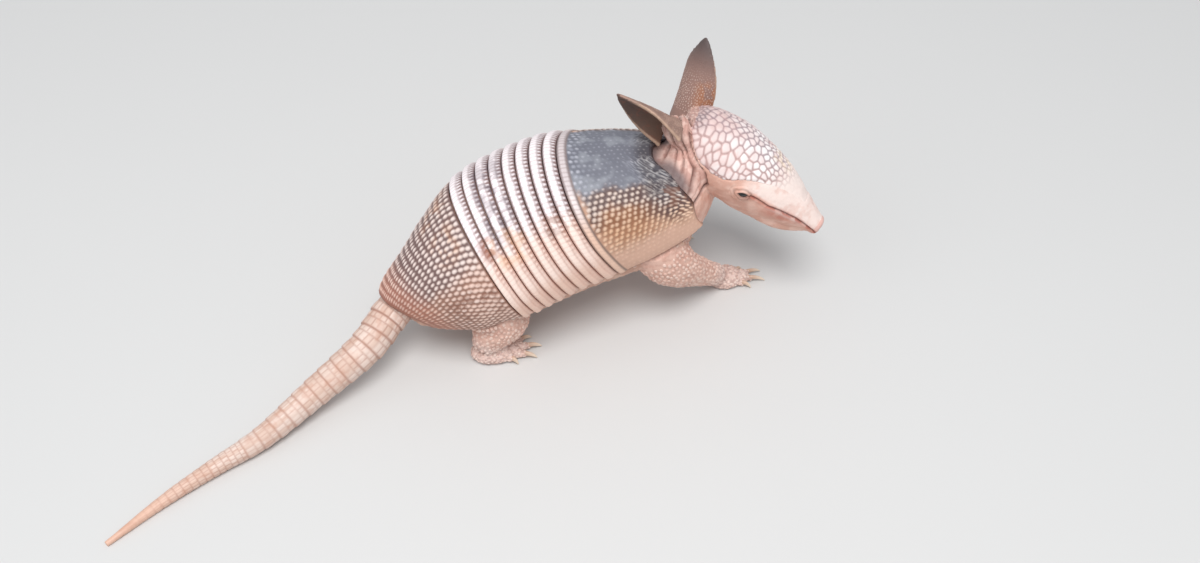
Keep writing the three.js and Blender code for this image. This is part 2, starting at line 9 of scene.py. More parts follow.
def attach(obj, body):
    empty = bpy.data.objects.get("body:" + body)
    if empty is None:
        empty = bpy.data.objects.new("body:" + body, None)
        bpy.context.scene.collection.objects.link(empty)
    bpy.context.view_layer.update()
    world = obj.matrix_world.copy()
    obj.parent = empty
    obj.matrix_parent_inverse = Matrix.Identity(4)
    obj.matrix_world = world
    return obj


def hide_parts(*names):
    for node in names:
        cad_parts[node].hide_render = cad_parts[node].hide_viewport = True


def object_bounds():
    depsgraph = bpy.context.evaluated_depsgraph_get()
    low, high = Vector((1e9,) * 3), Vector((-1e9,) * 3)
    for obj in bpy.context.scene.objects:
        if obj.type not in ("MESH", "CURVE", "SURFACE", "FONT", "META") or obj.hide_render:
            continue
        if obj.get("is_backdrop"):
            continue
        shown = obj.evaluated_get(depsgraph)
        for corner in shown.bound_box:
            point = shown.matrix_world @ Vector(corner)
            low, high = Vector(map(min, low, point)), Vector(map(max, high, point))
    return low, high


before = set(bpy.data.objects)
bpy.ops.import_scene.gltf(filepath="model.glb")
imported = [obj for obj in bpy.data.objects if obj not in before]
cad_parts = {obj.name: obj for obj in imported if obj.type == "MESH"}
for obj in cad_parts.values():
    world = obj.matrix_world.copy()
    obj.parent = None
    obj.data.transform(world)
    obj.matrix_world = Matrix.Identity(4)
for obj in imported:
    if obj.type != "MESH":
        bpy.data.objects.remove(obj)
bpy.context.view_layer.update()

mm = 0.001
body = {
    "centre": (-19.4, -27.0, 0.0),  # middle of the outline from above, at the frame's origin
    "gap": 0.3,
    "plateThickness": 1.2,
    "halfAngle": 116,  # degrees from the middle of the back to a plate's free edge
    "sweep": 5.2,  # how far the plates run forwards at the height of the trunk's axis
}
axisSteps = 201  # points at which a curved axis is measured
dice = np.random.default_rng(7)


# Curved axes and rounded sections, in millimetres of the drawing

def unit(v):
    return v / np.maximum(np.linalg.norm(v, axis=-1, keepdims=True), 1e-12)


def rise(x, low, high):
    t = np.clip((np.asarray(x, float) - low) / (high - low), 0, 1)
    return t * t * (3 - 2 * t)


def blend(a, b, t):
    return a + (b - a) * t


class Axis:
    # rows hold x, y, z, half width, height and depth, and some a section's own heading and pitch
    def __init__(self, rows):
        self.rows = np.array(rows, float)
        self.steps = np.linspace(0, 1, axisSteps)
        path = self.at(self.steps)[:, :3]
        gaps = np.linalg.norm(np.diff(path, axis=0), axis=1)
        self.lengths = np.concatenate([[0], np.cumsum(gaps)])
        self.length = self.lengths[-1]

    def at(self, t, slope=False):
        p = self.rows
        x = np.clip(t, 0, 1) * (len(p) - 1)
        i = np.minimum(x.astype(int), len(p) - 2)
        w = (x - i)[..., None]
        q = np.vstack([2 * p[0] - p[1], p, 2 * p[-1] - p[-2]])
        a, b, c, d = (q[i + k] for k in range(4))
        m, n = (c - a) / 2, (d - b) / 2
        square, cube = 3 * (c - b) - 2 * m - n, 2 * (b - c) + m + n
        if slope:
            return m + 2 * square * w + 3 * cube * w * w
        return b + m * w + square * w * w + cube * w ** 3

    def frame(self, share):
        share = np.asarray(share, float)
        t = np.interp(np.clip(share, 0, 1) * self.length, self.lengths, self.steps)
        row = self.at(t)
        if row.shape[-1] > 6:
            turn, pitch = np.radians(row[..., 6]), np.radians(row[..., 7])
            ahead = np.stack([np.cos(pitch) * np.cos(turn), np.cos(pitch) * np.sin(turn), np.sin(pitch)], -1)
        else:
            ahead = unit(self.at(t, True)[..., :3])
        left = unit(np.cross((0.0, 0.0, 1.0), ahead))
        return row[..., :3], left, np.cross(ahead, left), row[..., 3:6]


def sectionPoint(section, angle, grow=0.0):
    centre, left, upward, size = section
    high = np.where(np.cos(angle) > 0, size[..., 1], size[..., 2])
    side = left * ((size[..., 0] + grow) * np.sin(angle))[..., None]
    return centre + side + upward * ((high + grow) * np.cos(angle))[..., None]


trunkAxis = Axis([
    (-46.0, -21.2, 16.0, 5.6, 5.6, 5.2, 45, 30),
    (-40.6, -19.7, 18.0, 10.0, 10.0, 9.0, 38, 26),
    (-34.6, -17.6, 20.6, 13.8, 13.8, 11.6, 31, 20),
    (-28.7, -14.2, 23.4, 17.8, 17.8, 14.4, 24, 16),
    (-22.2, -9.9, 26.4, 21.0, 21.2, 16.6, 18, 14),
    (-13.5, -6.2, 29.2, 22.8, 23.0, 19.4, 12.5, 14),
    (0.4, -0.7, 33.4, 22.4, 21.6, 21.8, 6, 15),
    (12.7, 2.1, 36.0, 20.8, 18.4, 22.2, 3, 17),
    (22.9, 3.6, 38.0, 18.6, 16.0, 20.6, 1, 21),
    (32.4, 5.2, 39.8, 16.0, 12.8, 16.6, -2, 27),
    (39.7, 5.7, 41.6, 13.0, 9.5, 12.0, -6, 30),
])


def shellPoint(share, angle, grow=0.0):
    forwards = body["sweep"] * np.sin(np.pi * np.minimum(share, 0.5)) ** 0.3
    swept = share + forwards * (1 - np.cos(angle)) / trunkAxis.length
    flare = 0.5 * rise(np.abs(angle), math.radians(95), math.radians(body["halfAngle"]))
    return sectionPoint(trunkAxis.frame(swept), angle, grow + flare)


# Meshes

def makeMesh(name, points, faces, masks=None, uvs=None):
    mesh = bpy.data.meshes.new(name)
    mesh.from_pydata((np.asarray(points, float) - body["centre"]) * mm, [], faces)
    for key, values in (masks or {}).items():
        layer = mesh.attributes.new(key, "FLOAT", "POINT")
        layer.data.foreach_set("value", np.asarray(values, np.float32).ravel())
    if uvs is not None:
        layer = mesh.uv_layers.new(name="OFBake")
        layer.uv.foreach_set("vector", np.asarray(uvs, np.float32).ravel())
    mesh.polygons.foreach_set("use_smooth", [True] * len(mesh.polygons))
    mesh.update()
    piece = bpy.data.objects.new(name, mesh)
    bpy.context.scene.collection.objects.link(piece)
    return piece


def outward(grid, centre):
    normal = unit(np.cross(np.gradient(grid, axis=1), np.gradient(grid, axis=0)))
    return normal if ((grid - centre) * normal).sum() > 0 else -normal


def hump(x, at, wide):  # 1 at a place, and fading on both sides of it
    return np.exp(-((x - at) / wide) ** 2)


def tubeGrid(first, last, rows, cols):  # readings along a tube and around it
    return np.meshgrid(np.linspace(first, last, rows), np.linspace(-np.pi, np.pi, cols, False), indexing="ij")


def wrap(index):  # a grid of point numbers with its first column again at its end
    return np.hstack([index, index[:, :1]])


def quads(index):
    return np.stack([index[:-1, :-1], index[:-1, 1:], index[1:, 1:], index[1:, :-1]], -1).reshape(-1, 4)


mapEdge = 0.012  # width of a piece's rims and ends on its map


def spread(rows, cols, low, high):  # an even grid of map places
    ends = np.linspace(low[0], high[0], rows + 1), np.linspace(low[1], high[1], cols + 1)
    return np.stack(np.meshgrid(*ends, indexing="ij"), -1).reshape(-1, 2)


# A closed plate: outer is a fine grid of points, and its under side takes every step-th point of inner
def plateMesh(name, outer, inner, masks, step=8):
    if (np.cross(outer[1:, :-1] - outer[:-1, :-1], outer[:-1, 1:] - outer[:-1, :-1])
            * (outer - inner)[:-1, :-1]).sum() > 0:
        outer, inner = outer[:, ::-1], inner[:, ::-1]
        masks = {key: values[:, ::-1] for key, values in masks.items()}
    deep = inner[::step, ::step]
    rows, cols = outer.shape[0] - 1, outer.shape[1] - 1
    points = np.concatenate([outer.reshape(-1, 3), deep.reshape(-1, 3)])
    top = np.arange((rows + 1) * (cols + 1)).reshape(rows + 1, cols + 1)
    low = top.size + np.arange(deep.shape[0] * deep.shape[1]).reshape(deep.shape[:2])
    flat = spread(rows, cols, (0.02, 0.02), (0.92, 0.98))
    spot = spread(deep.shape[0] - 1, deep.shape[1] - 1, (0.95, 0.02), (0.99, 0.98))
    over, under = quads(top), quads(low)[:, ::-1]
    faces = over.tolist() + under.tolist()
    uvs = [flat[over].reshape(-1, 2), spot[under - top.size].reshape(-1, 2)]
    rims = [
        (top[0], low[0], (-mapEdge, 0)), (top[-1][::-1], low[-1][::-1], (mapEdge, 0)),
        (top[:, 0][::-1], low[:, 0][::-1], (0, -mapEdge)), (top[:, -1], low[:, -1], (0, mapEdge)),
    ]
    for fine, coarse, out in rims:
        for k in range(len(coarse) - 1):
            run = fine[k * step:(k + 1) * step + 1]
            faces.append([*run[::-1].tolist(), int(coarse[k]), int(coarse[k + 1])])
            uvs.append(np.concatenate([flat[run[::-1]], flat[[run[0], run[-1]]] + out]))
    full = {key: np.concatenate([values.ravel(), values[::step, ::step].ravel()])
            for key, values in masks.items()}
    return makeMesh(name, points, faces, full, np.concatenate(uvs))


# Uneven heights from -1 to 1 that change over about one size
def lumps(points, size, seed=0):
    place = np.asarray(points, float) / size
    cell = np.floor(place).astype(np.int64)
    part = place - cell
    part = part * part * (3 - 2 * part)
    total = np.zeros(place.shape[:-1])
    for corner in np.ndindex(2, 2, 2):
        key = ((cell + corner) * (73856093, 19349663, 83492791)).sum(-1) + seed * 2654435
        key = (key ^ (key >> 13)) * 1274126177 & 0xFFFFFFFF
        value = ((key ^ (key >> 16)) & 0xFFFF) / 0xFFFF
        total += value * np.prod(np.where(corner, part, 1 - part), axis=-1)
    return 2 * total - 1


# The nearest seeds of each point, nearest first
def nearest(points, seeds, count):
    tree = KDTree(len(seeds))
    for k, seed in enumerate(seeds):
        tree.insert(seed, k)
    tree.balance()
    return np.array([[hit[1] for hit in tree.find_n(p, count)] for p in points.reshape(-1, 3)])


# Oval beads at the seeds: 0 at a bead's middle and 1 at its rim, and the number of the bead
def beadShare(points, seeds, along, across, long, wide):
    flat = points.reshape(-1, 3)
    near = nearest(flat, seeds, 4)
    step = flat[:, None] - seeds[near]
    share = np.hypot((step * along[near]).sum(-1) / long[near], (step * across[near]).sum(-1) / wide[near])
    best = share.argmin(1)
    pick = np.arange(len(flat))
    return share[pick, best].reshape(points.shape[:-1]), near[pick, best].reshape(points.shape[:-1])


# Shell plates

shell = {
    "hip": (0.015, 0.298), "shoulder": (0.622, 0.9), "bands": 8,  # shares of the trunk, from its rear
    # how far the sides of the shoulder shield run forwards, between which angles, and where they fall back
    "frontReach": 4.3, "frontFrom": 5, "frontFull": 40, "frontEases": 66, "frontFalls": 1.2,
    "edgeDrop": 0.35, "edgeWide": 0.55,  # rounding of a plate's edges
}
halfGap = body["gap"] / 2 / trunkAxis.length


def shoulderFront(angle):
    side = np.degrees(np.abs(angle))
    up = rise(side, shell["frontFrom"], shell["frontFull"])
    fall = rise(side, shell["frontEases"], body["halfAngle"])
    reach = shell["frontReach"] / trunkAxis.length
    return shell["shoulder"][1] + reach * up * (1 - shell["frontFalls"] * fall)


def shellGrid(low, high, rows, cols):
    half = math.radians(body["halfAngle"])
    u, angle = np.meshgrid(np.linspace(0, 1, rows + 1), np.linspace(-half, half, cols + 1), indexing="ij")
    end = high(angle) if callable(high) else high
    share = blend(low, end, u)
    points = shellPoint(share, angle)
    arc = np.cumsum(np.linalg.norm(np.diff(points, axis=1, prepend=points[:, :1]), axis=-1), axis=1)
    arc -= arc[:, cols // 2:cols // 2 + 1]
    back, ahead = (share - low) * trunkAxis.length, (end - share) * trunkAxis.length
    return {
        "points": points, "share": share, "angle": angle, "arc": arc, "fromRear": back, "fromFront": ahead,
        "side": np.degrees(np.abs(angle)), "normal": outward(points, trunkAxis.frame(share)[0]),
        "inner": shellPoint(share, angle, -body["plateThickness"]),
    }


def soften(values):  # evens out the steps of a grid of heights
    edge = np.pad(values, 1, mode="edge")
    return (4 * values + edge[:-2, 1:-1] + edge[2:, 1:-1] + edge[1:-1, :-2] + edge[1:-1, 2:]) / 8


def finishPlate(name, node, grid, relief, raised, line, tone):
    edge = np.minimum.reduce([grid["fromRear"], grid["fromFront"], (body["halfAngle"] - grid["side"]) * 0.3])
    relief = soften(relief - shell["edgeDrop"] * (1 - rise(edge, -0.05, shell["edgeWide"])))
    outer = grid["points"] + grid["normal"] * relief[..., None]
    masks = {"raised": soften(raised), "line": soften(line), "tone": tone, "along": grid["share"],
             "around": np.degrees(grid["angle"]) / 180}
    piece = plateMesh(name, outer, grid["inner"], masks)
    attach(piece, "root")
    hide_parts(node)


def stripes(arc, pitch, wide):  # 1 in the thin grooves that part neighbouring scutes
    place = np.abs((arc / pitch) % 1 - 0.5) * pitch
    return rise(place, pitch / 2 - wide, pitch / 2 - wide * 0.2)


def toneOf(number, seed):
    return np.modf(np.abs(np.sin(number * 12.9898 + seed * 78.233)) * 43758.5453)[0]


def seedFrames(share, angle):  # where a bead sits, and its directions along and across the body
    here = shellPoint(share, angle)
    ahead = unit(shellPoint(share + 0.004, angle) - here)
    across = unit(shellPoint(share, angle + 0.03) - here)
    return here, ahead, across


shoulderBeads = {
    "grid": (136, 352),  # fine steps along the body and across it
    "lines": 53, "rows": 15,  # lines of beads along the body, and beads in a line
    "long": 0.6, "wide": 0.5, "height": 0.26, "uneven": 0.006,
    "fullSize": 20.5,  # half width of the body where the beads have their full size
    "slateFrom": 31, "slateTo": 40,  # degrees from the middle of the back where the flat slate saddle ends
    "frontTurn": 0.75, "frontLonger": 0.9,  # the slant and length of the beads near the front
    "rim": 2.5, "rimHeight": 0.34, "scute": 1.32, "groove": 0.2,  # the ribbed edge at its rear
    "waveSlope": 1.1, "waveHeight": 0.15,  # fine slanting waves at the front of the saddle
}


def makeShoulder():
    spec = shoulderBeads
    grid = shellGrid(shell["shoulder"][0] + halfGap, shoulderFront, *spec["grid"])
    low = shell["shoulder"][0] + (spec["rim"] + 0.95) / trunkAxis.length
    k, j = np.meshgrid(np.arange(spec["lines"]), np.arange(spec["rows"] + 1), indexing="ij")
    k, j = k.ravel(), j.ravel()
    angle = np.radians(body["halfAngle"] * (-1 + 2 * (k + 0.5) / spec["lines"]))
    angle += dice.normal(0, spec["uneven"], len(k))
    row = (j + 0.5 * (k % 2)) / spec["rows"] + dice.normal(0, spec["uneven"], len(k))
    share = blend(low, shoulderFront(angle) - 0.6 / trunkAxis.length, row)
    keep = row < 1
    share, angle, row = share[keep], angle[keep], row[keep]
    side = np.degrees(np.abs(angle))
    slate = (1 - rise(side, spec["slateFrom"], spec["slateTo"])) * rise(row, 0.0, 0.3)
    size = (1 - 0.45 * slate) * (1 - 0.35 * rise(side, 80, 106))
    size *= 1 + 0.12 * hump(side, 50, 12) + dice.normal(0, 0.05, len(side))
    size *= (trunkAxis.frame(share)[3][:, 0] / spec["fullSize"]) ** 1.5  # the lines run together forwards
    front = rise(row, 0.72, 0.95) * rise(side, 25, 45) * (1 - rise(side, 85, 100))
    seeds, ahead, across = seedFrames(share, angle)
    turn = (spec["frontTurn"] * front * -np.sign(angle))[:, None]
    slant = unit(ahead * np.cos(turn) - across * np.sin(turn))
    across = unit(across * np.cos(turn) + ahead * np.sin(turn))
    bead, number = beadShare(grid["points"], seeds, slant, across,
                             spec["long"] * size * (1 + spec["frontLonger"] * front),
                             spec["wide"] * size * (1 - 0.1 * front))
    side = grid["side"]
    row = grid["fromRear"] / (grid["fromRear"] + grid["fromFront"])
    field = rise(grid["fromRear"], spec["rim"] + 0.25, spec["rim"] + 0.6)
    slate = (1 - rise(side, spec["slateFrom"], spec["slateTo"])) * rise(row, 0.05, 0.3)
    wrinkled = rise(row, 0.62, 0.8) * (1 - rise(side, 42, 56)) * rise(side, 4, 14)
    dome = np.sqrt(np.clip(1 - bead ** 2, 0, 1)) * field
    height = spec["height"] * (1 - 0.72 * slate) * (1 - 0.75 * rise(side, 82, 106)) * (1 - 0.8 * wrinkled)
    relief = dome * height - 0.12 * field
    rim = rise(grid["fromRear"], 0.05, 0.7) * (1 - rise(grid["fromRear"], spec["rim"] - 0.8, spec["rim"]))
    groove = stripes(grid["arc"], spec["scute"], spec["groove"])
    groove = groove * (1 - field) * (1 - 0.75 * rise(side, 50, 85))
    relief += spec["rimHeight"] * rim - 0.1 * groove * rim
    across, slope = grid["arc"] * np.sign(grid["angle"]), spec["waveSlope"]
    past = grid["fromRear"]
    waves = np.stack([past * slope - across * slope, (past + across) * 0.22, 0 * across], -1)
    ridge = 1 - np.abs(lumps(waves, 0.5, 3)) * 2.2
    relief += wrinkled * spec["waveHeight"] * np.clip(ridge, -0.6, 1)
    relief += 0.05 * lumps(grid["points"], 2.2, 5) * field
    raised = np.maximum(dome ** 0.8 * (1 - 0.55 * slate) * (1 - wrinkled), rim)
    raised = np.maximum(raised, wrinkled * rise(ridge, 0.2, 0.9) * 0.65)
    finishPlate("shoulderShield", "shell_shoulder", grid, relief, raised,
                groove, toneOf(number, 1))


bandRib = {
    "grid": (16, 424), "height": 0.5,
    "scute": 1.42, "groove": 0.24, "shift": 0.4,  # width of a scute, and how far a band's scutes are set on
}


def makeBand(index):
    spec = bandRib
    pitch = (shell["shoulder"][0] - shell["hip"][1]) / shell["bands"]
    low = shell["hip"][1] + index * pitch
    grid = shellGrid(low + halfGap, low + pitch - halfGap, *spec["grid"])
    u = grid["fromRear"] / (grid["fromRear"] + grid["fromFront"])
    uneven = 0.06 * lumps(np.stack([grid["arc"] * 0.5, 0 * u + index * 7.3, 0 * u], -1), 1.5, 11)
    rib = rise(u, 0.0, 0.16) * (1 - rise(u + uneven, 0.5, 0.8))
    fade = 1 - 0.7 * rise(grid["side"], 55, 92)
    arc = grid["arc"] + spec["shift"] * index
    groove = stripes(arc, spec["scute"], spec["groove"])
    wedge = rise(stripes(arc, spec["scute"], 0.2 + 0.5 * rise(u, 0.5, 0.95)), 0.1, 0.7)
    comb = (1 - rib) * rise(u, 0.5, 0.7)
    relief = spec["height"] * rib * (1 - 0.25 * u) - 0.08 * (1 - rib) * rise(u, 0.5, 0.8)
    relief -= groove * fade * (0.07 * rib + 0.1 * (1 - rib) * rise(u, 0.5, 0.7))
    tooth = (1 - wedge) * comb * (1 - rise(u, 0.9, 0.99)) * 0.85 * blend(1, fade, 0.5)
    tooth = np.maximum(tooth, comb * (1 - rise(u, 0.93, 1)) * rise(grid["side"], 55, 85) * 0.8)
    number = np.floor(arc / spec["scute"]) + 97 * index
    finishPlate(f"band{shell['bands'] - index}", f"shell_band_{shell['bands'] - index}", grid,
                relief, np.maximum(rib, tooth), groove * fade, toneOf(number, 2))


hipBeads = {
    "grid": (120, 320), "lines": 44, "row": 1.72, "rim": 0.25,  # lines of beads, and distance between rows
    "long": 0.9, "wide": 0.61, "height": 0.26, "fullSize": 19,
}


def makeHip():
    spec = hipBeads
    grid = shellGrid(shell["hip"][0], shell["hip"][1] - halfGap, *spec["grid"])
    length = trunkAxis.length
    rows = int((shell["hip"][1] - shell["hip"][0]) * length / spec["row"])
    j, k = np.meshgrid(np.arange(rows + 1), np.arange(spec["lines"]), indexing="ij")
    share = (shell["hip"][1] - (spec["rim"] + 0.85 + j * spec["row"]) / length).ravel()
    angle = math.radians(body["halfAngle"]) * (2 * (k + 0.25 + 0.5 * (j % 2)) / spec["lines"] - 1)
    keep = share > shell["hip"][0] + 0.3 / length
    share = share[keep] + dice.normal(0, 0.0008, keep.sum())
    angle = angle.ravel()[keep] + dice.normal(0, 0.004, keep.sum())
    room = trunkAxis.frame(share)[3][:, 0] / spec["fullSize"]  # beads are smaller where the body narrows
    seeds, ahead, across = seedFrames(share, angle)
    side = np.degrees(np.abs(angle))
    size = (1 - 0.2 * rise(side, 75, 105)) + dice.normal(0, 0.04, len(side))
    bead, number = beadShare(grid["points"], seeds, ahead, across,
                             spec["long"] * size * blend(1, room, 0.35), spec["wide"] * size * room)
    side = grid["side"]
    field = rise(grid["fromFront"], spec["rim"], spec["rim"] + 0.3)
    dome = np.sqrt(np.clip(1 - bead ** 2, 0, 1)) * field
    relief = dome * spec["height"] * (1 - 0.4 * rise(side, 60, 95)) - 0.12 * field
    relief += 0.05 * lumps(grid["points"], 2.6, 8) * field
    finishPlate("hipShield", "shell_hip", grid, relief, dome ** 0.8, 0 * dome,
                toneOf(number, 4))


makeShoulder()
for index in range(shell["bands"]):
    makeBand(index)
makeHip()
print("shell plates made")


# Head, in a frame of its own: along towards the nose, left, and lift

head = {"at": (38.7, 12.2, 49.3), "heading": -20, "pitch": -32, "roll": -20}


def turnOfHead():
    turn, dip, tilt = (math.radians(head[key]) for key in ("heading", "pitch", "roll"))
    ahead = np.array((math.cos(turn) * math.cos(dip), math.sin(turn) * math.cos(dip), math.sin(dip)))
    level = np.array((-math.sin(turn), math.cos(turn), 0.0))
    left = level * math.cos(tilt) + np.cross(ahead, level) * math.sin(tilt)
    return np.array([ahead, left, np.cross(ahead, left)])


headTurn = turnOfHead()


def inHead(points):
    return np.asarray(points, float) @ headTurn + head["at"]


def toHead(points):
    return (np.asarray(points, float) - head["at"]) @ headTurn.T


headAxis = Axis([
    (-7.0, 0, -2.0, 6.8, 6.2, 3.6), (-4.5, 0, -1.6, 9.2, 8.8, 6.2), (0, 0, -1.5, 11.2, 10.8, 9.8),
    (8, 0, -0.4, 12.0, 11.2, 10.4), (16, 0, 0, 11.5, 10.4, 10.2), (24, 0, -0.1, 9.6, 9.2, 8.4),
    (31, 0, -0.2, 7.0, 7.0, 6.0), (36.5, 0, 0, 4.8, 4.8, 4.1), (40, 0, 0, 3.5, 3.4, 3.0),
])
jawAxis = Axis([
    (9, 0, -6.2, 7.8, 2.2, 3.4), (16, 0, -6.8, 7.5, 2.4, 3.2), (23, 0, -6.4, 6.2, 2.4, 2.8),
    (29.5, 0, -5.6, 4.9, 2.4, 2.8), (35.5, 0, -4.4, 3.2, 1.8, 2.2),
])


def levelFrame(like):  # left and up in the head's own frame
    return np.broadcast_to((0.0, 1.0, 0.0), like.shape), np.broadcast_to((0.0, 0.0, 1.0), like.shape)


def headSection(axis, along):
    t = np.linspace(0, 1, 801)
    row = axis.at(np.interp(along, axis.at(t)[:, 0], t))
    return row[..., :3], *levelFrame(row[..., :3]), row[..., 3:6]


def headPoint(along, angle, grow=0.0, axis=headAxis):
    return inHead(sectionPoint(headSection(axis, along), angle, grow))


shield = {
    "from": -6.0, "to": 33.0, "thickness": 1.0,
    # half angle that it covers at distances along the head: down over the cheeks, and up over the eyes
    "edge": [(-6, 48), (-4.8, 63), (-1.8, 80), (2, 91), (6, 96), (9, 95),
             (11, 89), (13.5, 78), (17, 68), (24, 54), (33, 40)],
}
headPlates = {
    "grid": (200, 216), "size": 2.0, "taller": 0.65,  # plates at the sides are taller than they are long
    "tries": 6000, "apart": 0.8, "rounds": 4,  # seeds tried, their distance, and rounds of evening out
    "groove": 0.2, "swell": 0.1, "smoothFrom": 23, "smoothTo": 29,
}


def shieldAngle(along):
    at, half = np.array(shield["edge"], float).T
    return np.radians(sum(np.interp(along + shift, at, half) for shift in (-0.9, -0.3, 0.3, 0.9)) / 4)


def plateSize(along, side):  # length along the head and width across it of the plates at a place
    tall = rise(side, 24, 40) * (1 - rise(side, 76, 88)) * rise(along, -4.5, -1) * (1 - rise(along, 9, 15))
    small = (1 - rise(along, -5, -2.5)) * 0.35 + (1 - rise(side, 6, 20)) * rise(along, 6, 14) * 0.25
    near = headPlates["size"] - 0.3 * rise(along, 14, 24)
    return near * (1 - small), near * (1 - small) * (1 + headPlates["taller"] * tall)


def apart(points, seed):  # distance from a plate's seed, in sizes of that plate
    spot, ahead, across, size = seed
    step = points - spot
    return np.hypot(step @ ahead / size[0], step @ across / size[1])


def plateSeeds():  # evenly spread middles of plates, each with its directions and its size
    spec = headPlates
    pick = dice.random((spec["tries"], 2))
    along = blend(shield["from"] + 0.3, shield["to"] - 0.3, pick[:, 0])
    angle = (2 * pick[:, 1] - 1) * shieldAngle(along)
    spots = headPoint(along, angle)
    ahead = unit(headPoint(along + 0.3, angle) - spots)
    across = unit(headPoint(along, angle + 0.03) - spots)
    size = np.stack(plateSize(along, np.degrees(np.abs(angle))), -1)
    seeds = list(zip(spots, ahead, across, size))
    chosen = []
    for seed in seeds:
        if all(apart(seed[0], other) > spec["apart"] for other in chosen):
            chosen.append(seed)
    for _ in range(spec["rounds"]):
        owner = np.argmin([apart(spots, seed) for seed in chosen], axis=0)
        middles = [spots[owner == n].mean(0) for n in range(len(chosen))]
        chosen = [seeds[np.linalg.norm(spots - middle, axis=1).argmin()] for middle in middles]
    return chosen


def makeHeadShield():
    spec = headPlates
    rows, cols = spec["grid"]
    u, v = np.meshgrid(np.linspace(0, 1, rows + 1), np.linspace(-1, 1, cols + 1), indexing="ij")
    along = blend(shield["from"] + body["gap"], shield["to"] - body["gap"], u)
    angle = v * shieldAngle(along)
    points = headPoint(along, angle)
    side = np.degrees(np.abs(angle))
    seeds = plateSeeds()
    wavy = points.reshape(-1, 3)
    wavy = wavy + 0.14 * np.stack([lumps(wavy, 1.7, 21 + k) for k in range(3)], -1)
    far = np.stack([apart(wavy, seed) for seed in seeds], -1)
    close = np.sort(np.partition(far, 2, axis=1)[:, :2], axis=1)
    first = far.argmin(1)
    size = np.array([seed[3].mean() for seed in seeds])[first]
    border = ((close[:, 1] - close[:, 0]) * size / 2).reshape(along.shape)
    swell = np.clip(1 - (close[:, 0] / 0.75) ** 2, 0, 1).reshape(along.shape)
    clear = 1 - rise(along + 0.06 * side, spec["smoothFrom"], spec["smoothTo"])
    groove = (1 - rise(border, 0.06, 0.36)) * blend(0.12, 1, clear)
    relief = -spec["groove"] * groove + spec["swell"] * swell * clear + 0.03
    relief += 0.035 * lumps(points, 0.9, 23)
    edge = np.minimum.reduce([along - shield["from"] - body["gap"], shield["to"] - body["gap"] - along,
                              (shieldAngle(along) - np.abs(angle)) * 10])
    snout = rise(along, 15, 24)
    relief = soften(relief - blend(0.3, 0.36, snout) * (1 - rise(edge, -0.05, blend(0.6, 3.2, snout))))
    inner = headPoint(along, angle, -shield["thickness"])
    for sign in (-1, 1):  # the eye's hollow in the lower edges
        away = np.linalg.norm(points - eyeCentre(sign), axis=-1)
        relief -= 0.5 * (1 - rise(away, eye["radius"] + 0.35, eye["radius"] + 1.1))
    middle = inHead(headSection(headAxis, along)[0])
    outer = points + outward(points, middle) * relief[..., None]
    number = first.reshape(along.shape)
    masks = {"line": soften(groove), "tone": toneOf(number, 6), "along": along / 40,
             "around": np.degrees(angle) / 180}
    piece = plateMesh("headShield", outer, inner, masks)
    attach(piece, "root")
    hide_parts("head_shield")


eye = {"along": 15.7, "angle": 98, "radius": 2.4, "sink": 1.3, "lid": 0.42, "slitLong": 1.5, "slitHigh": 0.6}


def eyeCentre(sign):
    return headPoint(np.array(eye["along"]), np.array(sign * math.radians(eye["angle"])), -eye["sink"])


def ball(radius, rows, cols, scale=(1, 1, 1)):  # points and faces of a ball around the origin
    v, u = np.meshgrid(np.linspace(0, np.pi, rows + 1)[1:-1], np.linspace(0, 2 * np.pi, cols, False),
                       indexing="ij")
    points = np.stack([np.sin(v) * np.cos(u), np.sin(v) * np.sin(u), np.cos(v)], -1).reshape(-1, 3)
    points = np.vstack([points, (0, 0, 1), (0, 0, -1)]) * radius * np.array(scale)
    ring = wrap(np.arange((rows - 1) * cols).reshape(rows - 1, cols))
    faces = quads(ring)[:, ::-1].tolist()
    north, south = len(points) - 2, len(points) - 1
    faces += [(north, int(a), int(b)) for a, b in zip(ring[0], ring[0][1:])]
    faces += [(south, int(b), int(a)) for a, b in zip(ring[-1], ring[-1][1:])]
    return points, faces


def makeEyes():
    for name, node, sign in (("eyeLeft", "eye_left", 1), ("eyeRight", "eye_right", -1)):
        points, faces = ball(eye["radius"], 32, 48)
        centre = eyeCentre(sign)
        gaze = points @ unit(eyeAhead(sign)) / eye["radius"]
        piece = makeMesh(name, points + centre, faces, {"gaze": gaze})
        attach(piece, "root")
        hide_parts(node)


def eyeAhead(sign):  # the way an eye looks
    centre = toHead(eyeCentre(sign))
    return unit((centre * (0, 1, 1) + (1.5, 0, 3.0)) @ headTurn)


makeHeadShield()
makeEyes()
print("head shield and eyes made")


# Tail

tailAxis = Axis([
    (x, y, z, thick, thick, thick) for x, y, z, thick in (
        (-41.5, -17.0, 18.0, 5.1), (-46.5, -22.6, 15.5, 5.0), (-52.7, -31.3, 12.0, 4.7),
        (-65.7, -42.4, 6.6, 3.9), (-77.6, -54.0, 3.4, 3.05), (-88.8, -62.6, 2.1, 2.3),
        (-99.7, -72.1, 1.45, 1.6), (-111.7, -84.4, 0.65, 0.7))
])
tail = {
    "grid": (500, 92), "start": 0.018,  # where it comes out of the hip shield
    "rings": 13, "until": 0.6, "step": 0.42, "scutes": 17,  # rings up to a share of its length
    "scaleRows": 20, "scales": 13,  # rows of scales behind the rings, and scales in a row
}


